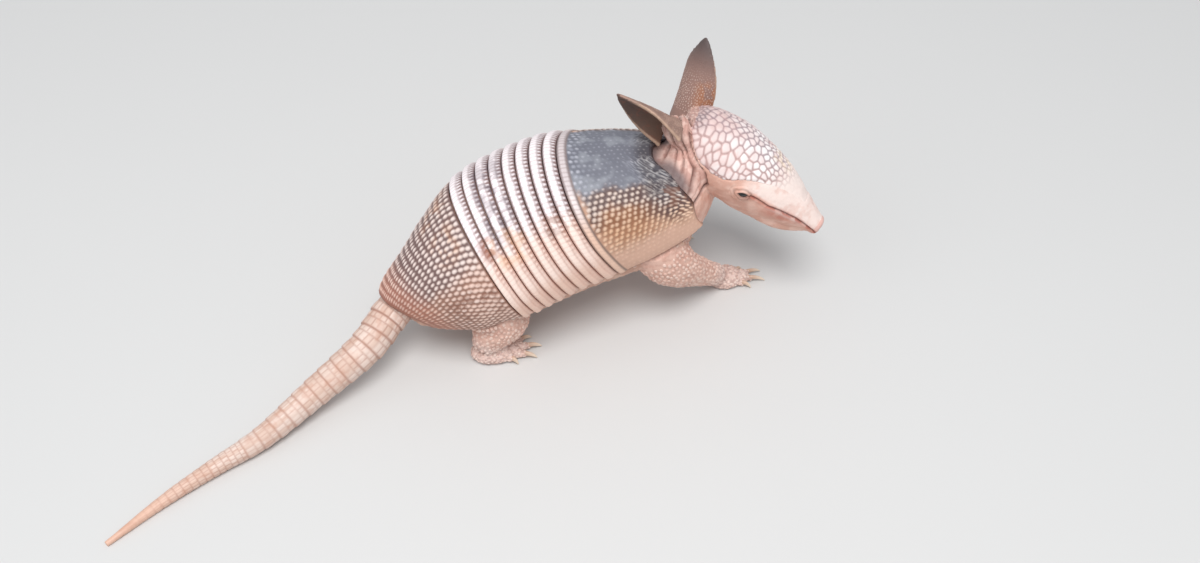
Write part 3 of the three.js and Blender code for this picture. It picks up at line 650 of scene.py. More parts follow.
# A closed tube from rings of points, with a map place at each corner
def tubeMesh(name, rings, masks):
    rows, cols = rings.shape[0] - 1, rings.shape[1]
    index = np.arange(rings.shape[0] * cols).reshape(-1, cols)
    side = np.cross(rings[1, 0] - rings[0, 0], rings[0, 1] - rings[0, 0])
    turned = ((rings[0] - rings[0].mean(0)) * side).sum() > 0
    place = np.arange(rings.shape[0] * (cols + 1)).reshape(-1, cols + 1)
    flat = spread(rows, cols, (0.05, 0.02), (0.95, 0.98))
    flip = slice(None, None, -1 if turned else 1)
    sides, places = quads(wrap(index))[:, flip], quads(place)[:, flip]
    uvs = [flat[places].reshape(-1, 2)]
    faces = sides.tolist()
    angle = np.linspace(0, 2 * np.pi, cols, False)
    disc = np.stack([np.cos(angle), np.sin(angle)], -1) * mapEdge
    for ring, spot in ((index[0], (0.02, 0.5)), (index[-1][::-1], (0.98, 0.5))):
        faces.append(ring[::-1].tolist())
        uvs.append(disc + spot)
    return makeMesh(name, rings.reshape(-1, 3), faces, masks, np.concatenate(uvs))


def makeTail():
    rows, cols = tail["grid"]
    u, v = np.meshgrid(np.linspace(0, 1, rows + 1), np.linspace(0, 2 * np.pi, cols, False), indexing="ij")
    share = blend(tail["start"], 1.0, u ** 1.03)
    phase = share / tail["until"] * tail["rings"]
    ringed = 1 - rise(share, tail["until"] - 0.004, tail["until"] + 0.004)
    step, fade = phase % 1, 1 - 0.6 * share / tail["until"]
    ring = np.floor(phase)
    turnOf = v / (2 * np.pi) * tail["scutes"]
    small = 1 - rise(step, 0.34, 0.44)
    place = np.abs((turnOf + 0.5 * (ring % 2) + 0.5 * small) % 1 - 0.5) * 2
    seam = rise(place, 0.74, 0.94)
    cross = hump(step, 0.4, 0.06)
    low = hump(np.minimum(step, 1 - step), 0, 0.075)
    relief = ringed * fade * (tail["step"] * step - 0.14 * np.maximum(seam * 0.8, cross * 0.7) - 0.12 * low)
    scale = np.clip((share - tail["until"]) / (1 - tail["until"]), 0, 1)
    row = scale ** 0.86 * tail["scaleRows"]
    half = np.floor(row) % 2 * 0.5
    around = np.abs((v / (2 * np.pi) * tail["scales"] + half) % 1 - 0.5) * 2
    net = np.maximum(rise(around, 0.7, 0.95), rise(np.abs(row % 1 - 0.5) * 2, 0.7, 0.95))
    scaled = (1 - ringed) * (1 - rise(scale, 0.35, 0.95))
    relief += scaled * 0.1 * (0.5 - net)
    line = ringed * np.maximum.reduce([seam * 0.7, cross * 0.6, low]) * (0.5 + 0.5 * fade)
    line += scaled * net * 0.7
    section = tailAxis.frame(share)
    points = sectionPoint(section, v, relief + 0.03 * lumps(sectionPoint(section, v), 1.2, 31))
    points[..., 2] = np.maximum(points[..., 2], 0.0)
    number = ring * 37 + np.floor(turnOf + 0.5 * (ring % 2))
    masks = {"line": line, "tone": toneOf(number, 5), "along": share}
    piece = tubeMesh("tailRings", points, masks)
    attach(piece, "root")
    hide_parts("tail_1", "tail_2", "tail_3", "tail_4")


makeTail()
print("tail made")


# Skin: rounded pieces are joined into one closed surface, and every point keeps its nearest piece's markings

skin = {
    "cell": 0.37, "evened": 16,  # size of the joined skin's cells, and rounds that even them out
    "shellGap": 1.5, "headGap": 0.25, "underShield": 1.25,  # how far it stays inside plates and outlines
    "underShell": 1.35, "underHead": 1.1,  # how far points below a plate are pressed in
}
folds = {
    "depth": 0.7425, "swell": 0.3,
    # distance behind the head's rear edge, half width and depth of each long fold, then the lesser wrinkles
    "long": [(0.5, 0.5, 1.0), (3.7, 0.5, 0.9), (7.0, 0.5, 0.9), (10.6, 0.45, 0.8), (14.4, 0.4, 0.7)],
    "small": [2.3, 5.6],
    # where the head's rear edge runs, at angles from its top
    "edge": [(0, -7), (42, -6.6), (65, -4.8), (80, -1.8), (92, 1.5), (101, 5), (120, 8), (180, 9)],
}
shieldShadeEdge = {"near": 1.6, "far": 4.4, "from": 48, "to": 72}  # width of the painted shade ahead of the shoulder shield, and where it ends
ear = {"thickness": 0.95, "baseCurl": 2.0, "tipCurl": 0.95, "root": (2.6, 4.2, 4.9, 5.0), "rootLean": 3.4}
ears = [
    {"length": 21.5, "halfArc": 8.2, "base": (-8.8, 4.85, 0.1), "tip": (0.32, 0.405, 0.857),
     "opening": (0.75, 0.55, -0.43), "from": -0.14, "pale": 0.45},
    {"length": 21.8, "halfArc": 8.2, "base": (-7.4, -6.1, 2.7), "tip": (-0.82, -0.09, 0.55),
     "opening": (-0.5, -0.8, -0.3), "from": 0.13, "pale": 0.12},
]
foreSizes = [(8.0, 9.0), (6.0, 7.0), (4.2, 4.6), (3.3, 3.2)]  # half widths and half depths down a leg
hindSizes = [(8.0, 10.5), (6.8, 8.2), (4.8, 5.6), (3.6, 4.2)]
legs = [
    ([(24.5, -5.5, 30.0), (31.0, -7.5, 20.5), (39.0, -1.8, 11.0), (45.5, 3.0, 4.4)], foreSizes),
    ([(21.0, 13.0, 30.0), (19.5, 18.5, 19.5), (21.5, 20.0, 10.5), (25.5, 20.6, 4.4)], foreSizes),
    ([(-21.5, -19.5, 22.5), (-16.0, -21.5, 14.2), (-19.0, -23.4, 8.2), (-20.5, -24.0, 4.6)], hindSizes),
    ([(-27.5, 1.0, 22.0), (-24.5, 5.5, 14.0), (-27.5, 7.5, 8.0), (-29.0, 8.4, 4.6)], hindSizes),
]
forePaw = {"length": 5.2, "width": 4.2, "height": 3.2,  # toes hold spread, reach and length of claw
           "toes": [(-30, 5.4, 2.6), (-9, 7.2, 4.6), (10, 7.0, 4.4), (33, 4.6, 2.4)]}
hindPaw = {"length": 7.0, "width": 4.6, "height": 3.4,
           "toes": [(-42, 5.6, 2.0), (-19, 8.4, 3.4), (0, 9.2, 3.9), (19, 8.2, 3.3), (44, 5.0, 2.0)]}
feet = [((48.0, 4.2), 10, forePaw), ((27.8, 21.4), 10, forePaw),
        ((-18.3, -23.4), 12, hindPaw), ((-27.0, 9.2), 24, hindPaw)]
pawLift = 1.9  # height of a paw's middle
parts = ("trunk", "neck", "head", "jaw", "nose", "ear", "leg", "paw")
made = []  # the pieces of the skin: part, points, faces, and three readings per point


def addTube(part, rings, first, second, third=0.0):
    rows, cols = rings.shape[:2]
    index = np.arange(rows * cols).reshape(rows, cols)
    sides = quads(wrap(index))
    middle = rings.mean(1, keepdims=True)
    normal = np.cross(rings[1:, :-1] - rings[:-1, :-1], rings[:-1, 1:] - rings[:-1, :-1])
    if (normal * (rings - middle)[:-1, :-1]).sum() > 0:
        sides = sides[:, ::-1]
        ends = [index[0].tolist(), index[-1][::-1].tolist()]
    else:
        ends = [index[0][::-1].tolist(), index[-1].tolist()]
    readings = np.stack([np.broadcast_to(r, (rows, cols)).ravel() for r in (first, second, third)], -1)
    made.append((parts.index(part), rings.reshape(-1, 3), sides.tolist() + ends, readings))


trunkEnd = 0.89  # share of its axis where the trunk's skin ends in the neck


def skinTrunk():
    share, angle = tubeGrid(0.03, trunkEnd, 150, 144)
    edge = math.radians(body["halfAngle"])
    under = -skin["shellGap"] * (1 - rise(np.abs(angle), edge, edge + 0.17)) - 0.1
    addTube("trunk", sectionPoint(trunkAxis.frame(share), angle, under), share, angle)


def skinNeck():
    start = trunkEnd + body["gap"] / trunkAxis.length
    rows, facings = [], []
    for share in (start - 0.04, start, start + 0.03):
        centre, left, upward, size = trunkAxis.frame(np.array(share))
        rows.append((*centre, *(size - 1.5)))
        facings.append(np.cross(left, upward))
    rows += [(37.5, 8.4, 43.6, 12.4, 10.6, 12.6), (39.8, 9.6, 45.4, 11.2, 9.5, 11.0),
             (42.5, 10.0, 46.0, 9.5, 8.0, 9.0)]
    facings += [(0.9, -0.05, 0.42), (0.88, -0.2, 0.36), (0.88, -0.3, 0.2)]
    axis, facing = Axis(rows), Axis([(*f, 0, 0, 0) for f in facings])
    share, angle = tubeGrid(0, 1, 60, 120)
    t = np.interp(share * axis.length, axis.lengths, axis.steps)
    centre, _, _, size = axis.frame(share)
    ahead = unit(facing.at(t)[..., :3])
    left = unit(np.cross((0.0, 0.0, 1.0), ahead))
    addTube("neck", sectionPoint((centre, left, np.cross(ahead, left), size), angle, -0.2), share, angle)


def skinHead():
    along, angle = tubeGrid(-7, 40.4, 160, 144)
    free = (shieldAngle(along) - np.abs(angle)) * headSection(headAxis, along)[3][..., 0]
    under = rise(np.minimum.reduce([along - shield["from"], shield["to"] - along, free]), 0.25, 1.1)
    brow = 0.45 * hump(along, eye["along"], 2.8) * hump(np.degrees(np.abs(angle)), 88, 8) * (1 - under)
    sunk = blend(-skin["headGap"], -skin["underShield"], under)
    addTube("head", headPoint(along, angle, sunk + brow), along, angle)
    chin = Axis([*jawAxis.rows[:-1], (34.5, 0, -4.5, 3.3, 1.9, 2.3), (38.2, 0, -2.9, 2.1, 1.2, 1.2),
                 (39.4, 0, -2.3, 1.2, 0.7, 0.6)])
    along, angle = tubeGrid(9, 39.4, 110, 96)
    addTube("jaw", headPoint(along, angle, -0.1, chin), along, angle)
    along, angle = tubeGrid(39.8, 41.9, 12, 48)
    end = np.clip((along - 40.6) / 1.35, 0, 1)
    size = np.stack([3.15 - 2.0 * end ** 2.4, 2.9 - 1.7 * end ** 2.4, 2.9 - 1.7 * end ** 2.4], -1)
    centre = np.stack([along, 0 * along, 0.15 + 0 * along], -1)
    addTube("nose", inHead(sectionPoint((centre, *levelFrame(size), size), angle)), along, angle)
    for sign in (-1, 1):  # lids
        points, faces = ball(eye["radius"] + eye["lid"], 24, 36)
        made.append((parts.index("head"), points + eyeCentre(sign), faces,
                     np.tile((eye["along"], math.radians(sign * eye["angle"]), 0.0), (len(points), 1))))


def earPoint(one, u, v, inside):
    root = inHead(one["base"])
    axis = unit(np.array(one["tip"]))
    opening = unit(np.array(one["opening"]) - axis * np.dot(one["opening"], axis))
    across = np.cross(axis, opening)
    along = np.clip(u, 0, 0.985)
    leaf = (1 - along ** 2.4) ** 0.75 * (1.35 - 0.35 * along)
    curl = blend(ear["baseCurl"], ear["tipCurl"], rise(along, 0, 0.75))
    radius = one["halfArc"] * leaf / curl
    edge = rise(np.abs(v), 0.8, 1.0)
    wall = np.minimum(ear["thickness"], 0.6 * radius)
    r = np.where(inside, radius - wall, radius)
    turned = curl * v
    lip = 0.5 * edge * rise(along, 0.05, 0.3) * (1 - rise(along, 0.8, 1.0))
    bowl = opening * (radius - r * np.cos(turned) - lip)[..., None] + across * (r * np.sin(turned))[..., None]
    return root + axis * (one["length"] * u)[..., None] + bowl


def skinEars():
    for k, one in enumerate(ears):
        rows, cols = 70, 60
        u, v = np.meshgrid(np.linspace(one["from"], 1, rows), np.linspace(-1, 1, cols), indexing="ij")
        outer, inner = earPoint(one, u, v, False), earPoint(one, u, v, True)
        rings = np.concatenate([outer, inner[:, ::-1]], 1)
        face = np.concatenate([0 * v, 1 + 0 * v], 1) + 2 * k
        addTube("ear", rings, np.concatenate([u, u], 1), np.concatenate([v, v[:, ::-1]], 1), face)
        low = one["from"] + 0.04
        back = earPoint(one, np.array(low), np.array(0.0), False)
        front = (inHead(one["base"]) + unit(np.array(one["tip"])) * one["length"] * low
                 + unit(np.array(one["opening"])) * ear["rootLean"])
        inner = inHead((1.0, one["base"][1] * 0.55, 0.5))
        spots = blend(back * 0.3 + 0.7 * front, inner, np.linspace(0, 1, len(ear["root"]))[:, None])
        root = Axis([(*spot, size, size, size) for spot, size in zip(spots, ear["root"])])
        share, angle = tubeGrid(0, 1, 30, 40)
        addTube("neck", sectionPoint(root.frame(share), angle), share, angle)


def turnFlat(points, degrees):
    a = math.radians(degrees)
    return points @ np.array([(math.cos(a), math.sin(a), 0), (-math.sin(a), math.cos(a), 0), (0, 0, 1)])


def toeFrame(points, spread, heading, at):
    return turnFlat(turnFlat(points, spread), heading) + (*at, 0)


def legAxis(spots, sizes):
    return Axis([(*spot, wide, deep, deep) for spot, (wide, deep) in zip(spots, sizes)])


def legFrame(axis, share):
    centre, _, _, size = axis.frame(share)
    t = np.interp(share * axis.length, axis.lengths, axis.steps)
    ahead = unit(axis.at(t, True)[..., :3])
    left = unit(np.cross(ahead, (1.0, 0.4, 0.0)))
    return centre, left, np.cross(ahead, left), size


def skinLegs():
    for number, (leg, (at, heading, paw)) in enumerate(zip(legs, feet)):
        axis = legAxis(*leg)
        share, angle = tubeGrid(0, 1, 80, 64)
        addTube("leg", sectionPoint(legFrame(axis, share), angle, -0.2), share, angle, number)
        points, faces = ball(1, 24, 36, [paw[key] - 0.15 for key in ("length", "width", "height")])
        points = turnFlat(points + (0, 0, pawLift), heading) + (*at, 0)
        made.append((parts.index("paw"), points, faces, np.tile((0.0, 0.0, number), (len(points), 1))))
        for spread, reach, claw in paw["toes"]:
            thick = paw["width"] * 0.34 - 0.1
            bone = Axis([(reach * 0.1, 0, pawLift, thick, thick, thick),
                         (reach * 0.5, 0, 1.85, thick * 0.92, thick * 0.95, thick),
                         (reach * 0.78, 0, 1.55, thick * 0.95, thick, thick),
                         (reach + claw * 0.12, 0, 1.35, thick * 0.52, thick * 0.6, thick * 0.6)])
            share, angle = tubeGrid(0, 1, 24, 24)
            crease = 0.12 * np.cos(share * 2 * np.pi * 3)
            rings = sectionPoint(bone.frame(share), angle, crease).reshape(-1, 3)
            addTube("paw", toeFrame(rings, spread, heading, at).reshape(24, 24, 3), share, angle, number)


def joinSkin():
    start, points, faces, source, readings = 0, [], [], [], []
    for part, spots, sides, values in made:
        points.append(spots)
        faces += [[start + k for k in side] for side in sides]
        source.append(np.full(len(spots), part))
        readings.append(values)
        start += len(spots)
    points, source, readings = np.concatenate(points), np.concatenate(source), np.concatenate(readings)
    rough = makeMesh("rough", points, faces)
    join = rough.modifiers.new("join", "REMESH")
    join.mode, join.voxel_size = "VOXEL", skin["cell"] * mm
    smooth = rough.modifiers.new("smooth", "SMOOTH")
    smooth.factor, smooth.iterations = 0.5, 2
    depth = bpy.context.evaluated_depsgraph_get()
    mesh = bpy.data.meshes.new_from_object(rough.evaluated_get(depth))
    spots = np.empty(len(mesh.vertices) * 3)
    mesh.vertices.foreach_get("co", spots)
    sides = np.empty(len(mesh.loops), int)
    mesh.loops.foreach_get("vertex_index", sides)
    bpy.data.objects.remove(rough)
    bpy.data.meshes.remove(mesh)
    spots, sides = spots.reshape(-1, 3) / mm + body["centre"], sides.reshape(-1, 4)
    owner = source[nearest(spots, points, 1)[:, 0]]
    thin, soft = owner == parts.index("ear"), owner == parts.index("neck")
    start, end = sides.ravel(), np.roll(sides, -1, axis=1).ravel()
    count = np.bincount(start, minlength=len(spots))[:, None]
    for k in range(skin["evened"]):  # evens out the cells of the join, and the thin ears most
        total = np.stack([np.bincount(start, spots[end, axis], len(spots)) for axis in range(3)], -1)
        back = 0.5 if k % 2 == 0 else -0.51
        amount = np.where(soft, 0.5, np.where(thin | (k < 4), back, 0))
        spots = spots + (total / count - spots) * amount[:, None]
    return spots, sides, points, source, readings


skinTrunk()
skinNeck()
skinHead()
skinEars()
skinLegs()
print("pieces of the skin laid out")
*joined, knownPoints, knownPart, known = joinSkin()
print("skin joined:", len(joined[0]), "points")


# Finer points where the face has its small forms
def refine(spots, sides, chosen):
    pick = chosen[sides].all(1)
    edges = {}
    spots = list(spots)

    def middle(a, b):
        key = (a, b) if a < b else (b, a)
        if key not in edges:
            edges[key] = len(spots)
            spots.append((spots[a] + spots[b]) / 2)
        return edges[key]

    faces = []
    for a, b, c, d in sides[pick].tolist():
        spots.append((spots[a] + spots[b] + spots[c] + spots[d]) / 4)
        centre = len(spots) - 1
        ab, bc, cd, da = middle(a, b), middle(b, c), middle(c, d), middle(d, a)
        faces += [[a, ab, centre, da], [b, bc, centre, ab], [c, cd, centre, bc], [d, da, centre, cd]]
    near = np.zeros(len(spots), bool)
    near[sides[pick].ravel()] = True
    rest = sides[~pick]
    whole = ~near[rest].any(1)
    faces += rest[whole].tolist()
    for side in rest[~whole].tolist():
        out = []
        for a, b in zip(side, side[1:] + side[:1]):
            key = (a, b) if a < b else (b, a)
            out += [a, edges[key]] if key in edges else [a]
        faces.append(out)
    return np.array(spots), faces


def pointNormals(spots, faces):
    flat = np.concatenate([np.array(face) for face in faces])
    size = np.array([len(face) for face in faces])
    start = np.cumsum(size) - size
    after = np.arange(len(flat)) + 1
    after[start + size - 1] = start
    cross = np.cross(spots[flat], spots[flat[after]])
    normal = np.add.reduceat(cross, start)
    total = np.zeros_like(spots)
    np.add.at(total, flat, np.repeat(normal, size, axis=0))
    return unit(total)


# Distance along the head, angle from its top in degrees, half width there, and place in the head's frame
def headPlace(points):
    local = toHead(points)
    centre, _, _, size = headSection(headAxis, np.clip(local[:, 0], -7, 40))
    high = np.where(local[:, 2] > centre[:, 2], size[:, 1], size[:, 2])
    angle = np.degrees(np.arctan2(local[:, 1] / size[:, 0], (local[:, 2] - centre[:, 2]) / high))
    return local[:, 0], angle, size[:, 0], local


mouth = {
    "line": [(16.5, 93), (20, 91), (24, 92), (28, 88), (33, 86), (37, 92), (40, 104), (42, 118)],
    "depth": 0.5, "cut": 0.26,
}
nostril = {"along": 41.7, "aside": 1.15, "lift": 0.35, "depth": 1.1}


# Presses what stands above a hidden depth under a plate
def tuck(points, seen, surface, normal, depth, reach):
    surface, normal = surface.reshape(-1, 3), normal.reshape(-1, 3)
    near = nearest(points[seen], surface, 1)[:, 0]
    step = points[seen] - surface[near]
    up = (step * normal[near]).sum(-1)
    aside = np.linalg.norm(step - normal[near] * up[:, None], axis=-1)
    over = (up > -depth) & (up < reach) & (aside < 0.55)
    move = np.zeros(seen.sum())
    move[over] = -depth - up[over]
    points[seen] += normal[near] * move[:, None]


def mouthAngle(along):
    return np.interp(along, *np.array(mouth["line"], float).T)


def smallForms(spots):  # where the face wants finer points
    part = knownPart[nearest(spots, knownPoints, 1)[:, 0]]
    along, angle, _, _ = headPlace(spots)
    face = np.isin(part, [parts.index(name) for name in ("head", "jaw", "nose")])
    fine = face & (along > 15.5) & (np.abs(np.abs(angle) - mouthAngle(along)) < 12)
    fine |= face & (along > 39)
    for sign in (-1, 1):
        fine |= np.linalg.norm(spots - eyeCentre(sign), axis=1) < 4.4
    return fine


# How far the mouth moves the skin outwards, how much painted shade lies in its cut, and how red it is
def mouthForm(face, along, side, wide):
    away = (side - mouthAngle(along)) * np.pi / 180 * wide
    there = face * rise(along, 16.0, 18.5) * (1 - rise(along, 42.5, 43.5))
    cut = hump(away, 0, mouth["cut"]) * there
    lips = (0.16 * hump(away, 0.75, 0.5) + 0.14 * hump(away, -0.7, 0.5)) * there
    return lips - mouth["depth"] * cut, 0.75 * cut, there * hump(away, 0.2, 0.9)


def shieldShadeShare(spots):  # painted shade on the skin, just ahead of the shoulder shield's front edge
    turn = np.radians(np.linspace(-112, 112, 260))
    edge = shellPoint(shoulderFront(turn), turn)
    near = nearest(spots, edge, 1)[:, 0]
    past = np.linalg.norm(spots - edge[near], axis=1) + 1.2 * lumps(spots, 3.0, 51)
    shieldShade = 1 - rise(past, shieldShadeEdge["near"], shieldShadeEdge["far"])
    return shieldShade * (1 - rise(np.degrees(np.abs(turn[near])), shieldShadeEdge["from"], shieldShadeEdge["to"]))


# How far the folds of the neck move the skin, how deep they are, and where the folded skin is
def foldForm(spots, along, side, loose, shieldShade):
    back = np.interp(side, *np.array(folds["edge"], float).T) - along
    neck = loose * rise(back, 0.0, 0.5) * (1 - rise(along, 9, 13)) * rise(170 - side, 0, 30)
    wave = back + 0.4 * lumps(spots, 6.0, 41) + 0.05 * lumps(spots, 1.5, 42)
    crease = np.zeros(len(spots))
    for at, width, deep in folds["long"]:
        crease = np.maximum(crease, deep * hump(wave, at, width))
    for at in folds["small"]:
        crease = np.maximum(crease, 0.25 * hump(wave - 0.3 * lumps(spots, 2.0, 43), at, 0.2))
    crease = crease * neck * (1 - 0.85 * shieldShade)
    swell = folds["swell"] * neck * (1 - crease) * (1 - shieldShade) * rise(back, 1.0, 2.0)
    return swell - folds["depth"] * crease, crease, neck


def shapeLids(spots, move):  # changes both in place, and gives the distance from the slit
    slit = np.full(len(spots), 9.0)
    for sign in (-1, 1):
        centre, ahead = eyeCentre(sign), eyeAhead(sign)
        long = headTurn[0] + 0.35 * headTurn[2]
        long = unit(long - ahead * (long @ ahead))
        high = np.cross(ahead, long) * -sign
        step = spots - centre
        reach = np.linalg.norm(step, axis=1)
        a, b, c = step @ long, step @ high, step @ ahead
        half = eye["slitHigh"] * np.clip(1 - (a / eye["slitLong"]) ** 2, 0, 1) ** 0.8
        past = np.abs(a) - eye["slitLong"]
        gap = np.where(past < 0, np.abs(b) - half, np.hypot(past, b))
        close = (reach < 4.6) & (c > 0.2)
        slit = np.where(close, np.minimum(slit, gap), slit)
        inside = close & (gap < 0) & (c > 0.8)
        spots[inside] = centre + step[inside] / reach[inside, None] * (eye["radius"] - 0.55)
        rim = close & ~inside
        move[rim] += 0.14 * hump(gap[rim], 0.22, 0.2) - 0.16 * hump(gap[rim], 0.95, 0.2)
        move[rim] -= 0.1 * hump(gap[rim] - 0.2 * lumps(spots[rim], 1.1, 44), 1.75, 0.2)
        move[inside] = 0
    return slit


def sinkNostrils(spots, local, snout):  # moves the points in place, and gives the painted shade in them
    dark = np.zeros(len(spots))
    for sign in (-1, 1):
        centre = (nostril["along"], sign * nostril["aside"], nostril["lift"])
        away = np.linalg.norm((local - centre) * (0.6, 1.0, 1.25), axis=1)
        hole = (1 - rise(away, 0.3, 0.75)) * snout
        spots -= headTurn[0] * (nostril["depth"] * hole)[:, None]
        dark = np.maximum(dark, hole)
    return dark


def wrinkles(spots, leg, trunk):  # all over, and deeper on the legs and the belly
    rough = 0.05 * lumps(spots, 0.8, 45) + 0.09 * lumps(spots, 2.1, 46)
    rough += leg * 0.12 * (1 - 2 * np.abs(lumps(spots * (0.7, 0.7, 2.2), 2.4, 47)))
    return rough + trunk * 0.16 * (1 - 2 * np.abs(lumps(spots * (1.8, 0.6, 0.6), 2.6, 48)))


def tuckUnderShell(spots, seen):
    share, turn = np.meshgrid(np.linspace(shell["hip"][0], 0.93, 190),
                              np.radians(np.linspace(-117, 117, 180)), indexing="ij")
    share = np.minimum(share, shoulderFront(turn))
    roof = shellPoint(share, turn)
    tuck(spots, seen, roof, outward(roof, trunkAxis.frame(share)[0]), skin["underShell"], 7)


def tuckUnderHead(spots, seen):
    along, turn = np.meshgrid(np.linspace(shield["from"] + 0.9, shield["to"] - 3.4, 120),
                              np.linspace(-1, 1, 120), indexing="ij")
    turn = turn * (shieldAngle(along) - blend(0.07, 0.42, rise(along, 15, 24)))
    roof = headPoint(along, turn)
    over = outward(roof, inHead(headSection(headAxis, along)[0]))
    tuck(spots, seen, roof, over, skin["underHead"], 3)


def shapeSkin(spots, sides):
    spots, faces = refine(spots, sides, smallForms(spots))
    near = nearest(spots, knownPoints, 1)[:, 0]
    part, reading = knownPart[near], known[near]
    normal = pointNormals(spots, faces)
    along, angle, wide, local = headPlace(spots)
    side = np.abs(angle)
    trunk, throat, skull, chin, snout, lobe, leg, paw = (part == k for k in range(len(parts)))
    face = skull | chin | snout

    lips, dark, red = mouthForm(face, along, side, wide)
    # painted shade on the neck just ahead of the shoulder shield; it also softens the folds there
    shieldShade = throat * shieldShadeShare(spots)
    fold, crease, neck = foldForm(spots, along, side, throat | skull, shieldShade)
    move = lips + fold
    slit = shapeLids(spots, move)
    hole = sinkNostrils(spots, local, snout)
    # painted shade: the mouth's cut, the neck's creases, the lid slits with their furrows, and the nostrils
    # are darkened
    lids = np.maximum(0.9 * (1 - rise(slit, -0.05, 0.4)), 0.5 * hump(slit, 0.95, 0.28))
    dark = np.maximum.reduce([dark, crease, lids, hole])
    calm = (1 - snout * 0.7) * np.where(slit < 1.2, 0.2, 1) * np.where(lobe, 0.3, 1)
    spots = spots + normal * (move + wrinkles(spots, leg, trunk) * calm)[:, None]
    tuckUnderShell(spots, trunk | throat | leg)
    tuckUnderHead(spots, throat | skull | chin | trunk)

    muzzle = face * rise(along, 20, 31) * (1 - rise(side, 88, 106))
    aboveLips = 1 - rise(side - mouthAngle(along), -9, -1)
    upper = face * rise(along, 12, 19) * aboveLips * (1 - 0.5 * hump(slit, 0, 1.4))
    jaw = face * hump(along, 29, 6.0) * hump(side, 104, 13)
    nape = (1 - rise(along, -5.6, -4.2)) * rise(along, -10, -8) * (1 - rise(side, 38, 52))
    masks = {
        "dark": np.clip(dark, 0, 1), "red": np.clip(np.maximum(red, 0.8 * jaw), 0, 1),
        "muzzle": np.maximum(muzzle, upper),
        "ear": lobe, "hollow": lobe * (reading[:, 2] % 2), "farEar": lobe * (reading[:, 2] < 1.5),
        "earAlong": lobe * reading[:, 0], "earAcross": lobe * reading[:, 1],
        "paw": paw + leg * rise(reading[:, 0], 0.75, 0.95), "leg": leg | paw,
        "neck": np.clip(neck, 0, 1), "belly": trunk, "nose": snout, "shieldShade": shieldShade,
        "nape": (skull | throat) * nape * (1 - shieldShade),
    }
    masks = {key: np.asarray(values, float) for key, values in masks.items()}
    spots[:, 2] = np.maximum(spots[:, 2], 0)
    piece = makeMesh("skin", spots, faces, masks)
    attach(piece, "root")
    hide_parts("trunk", "neck", "head", "jaw", "nose", "ear_left", "ear_right",
                "foreleg_right", "foreleg_left", "hindleg_right", "hindleg_left",
                "forefoot_right", "forefoot_left", "hindfoot_right", "hindfoot_left")
    return spots, part, reading, pointNormals(spots, faces), masks, np.stack([along, angle], -1)


skinSpots, skinPart, skinReading, skinNormals, skinMasks, skinPlace = shapeSkin(*joined)
print("skin shaped")


def makeClaws():
    rows, cols = 22, 20
    points, faces, readings = [], [], []
    for at, heading, paw in feet:
        for spread, reach, claw in paw["toes"]:
            thick = paw["width"] * 0.34
            bone = Axis([(reach * 0.82, 0, 1.62, thick * 0.5, thick * 0.5, thick * 0.5),
                         (reach + claw * 0.3, 0, 1.62, thick * 0.4, thick * 0.5, thick * 0.36),
                         (reach + claw * 0.72, 0, 1.12, thick * 0.26, thick * 0.34, thick * 0.22),
                         (reach + claw * 1.02, 0, 0.26, 0.1, 0.12, 0.08)])
            share, angle = tubeGrid(0, 1, rows, cols)
            rings = sectionPoint(bone.frame(share), angle, 0.02 * np.sin(angle * 6)).reshape(-1, 3)
            rings = toeFrame(rings, spread, heading, at)
            rings[:, 2] = np.maximum(rings[:, 2], 0.02)
            index = len(points) * rows * cols + np.arange(rows * cols).reshape(rows, cols)
            faces += quads(wrap(index))[:, ::-1].tolist()
            faces += [index[0].tolist(), index[-1][::-1].tolist()]
            points.append(rings)
            readings.append(share.ravel())
    piece = makeMesh("claws", np.concatenate(points), faces, {"tip": np.concatenate(readings)})
    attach(piece, "root")


makeClaws()
print("claws made")


# Scales: closed domes that stand on the skin, point down the limb or the ear, and carry the skin's markings

scales = {  # distance apart, half length, half width and height
    "leg": (1.15, 0.62, 0.5, 0.2), "foot": (0.85, 0.46, 0.38, 0.15), "ear": (0.56, 0.23, 0.18, 0.06),
    "nape": (1.0, 0.46, 0.44, 0.08), "belly": (2.1, 0.62, 0.48, 0.14),
}
# sides of a dome, its rings as radius and height, how far it tips up ahead, and its place on the map
dome = {"sides": 8, "rings": [(1.0, -0.5), (0.9, 0.5), (0.5, 0.92)], "tilt": 0.28, "patch": 0.0014}


# Numbers of skin points that keep their distance from one another
def scatter(chosen, pitch):
    taken, picked = {}, []
    numbers = dice.permutation(np.flatnonzero(chosen))
    cells = np.floor(skinSpots[numbers] / pitch).astype(int).tolist()
    for k, (x, y, z), spot in zip(numbers.tolist(), cells, skinSpots[numbers].tolist()):
        close = (other for a in (-1, 0, 1) for b in (-1, 0, 1) for c in (-1, 0, 1)
                 for other in taken.get((x + a, y + b, z + c), ()))
        if all(math.dist(spot, other) > pitch for other in close):
            taken.setdefault((x, y, z), []).append(spot)
            picked.append(k)
    return np.array(picked, int)


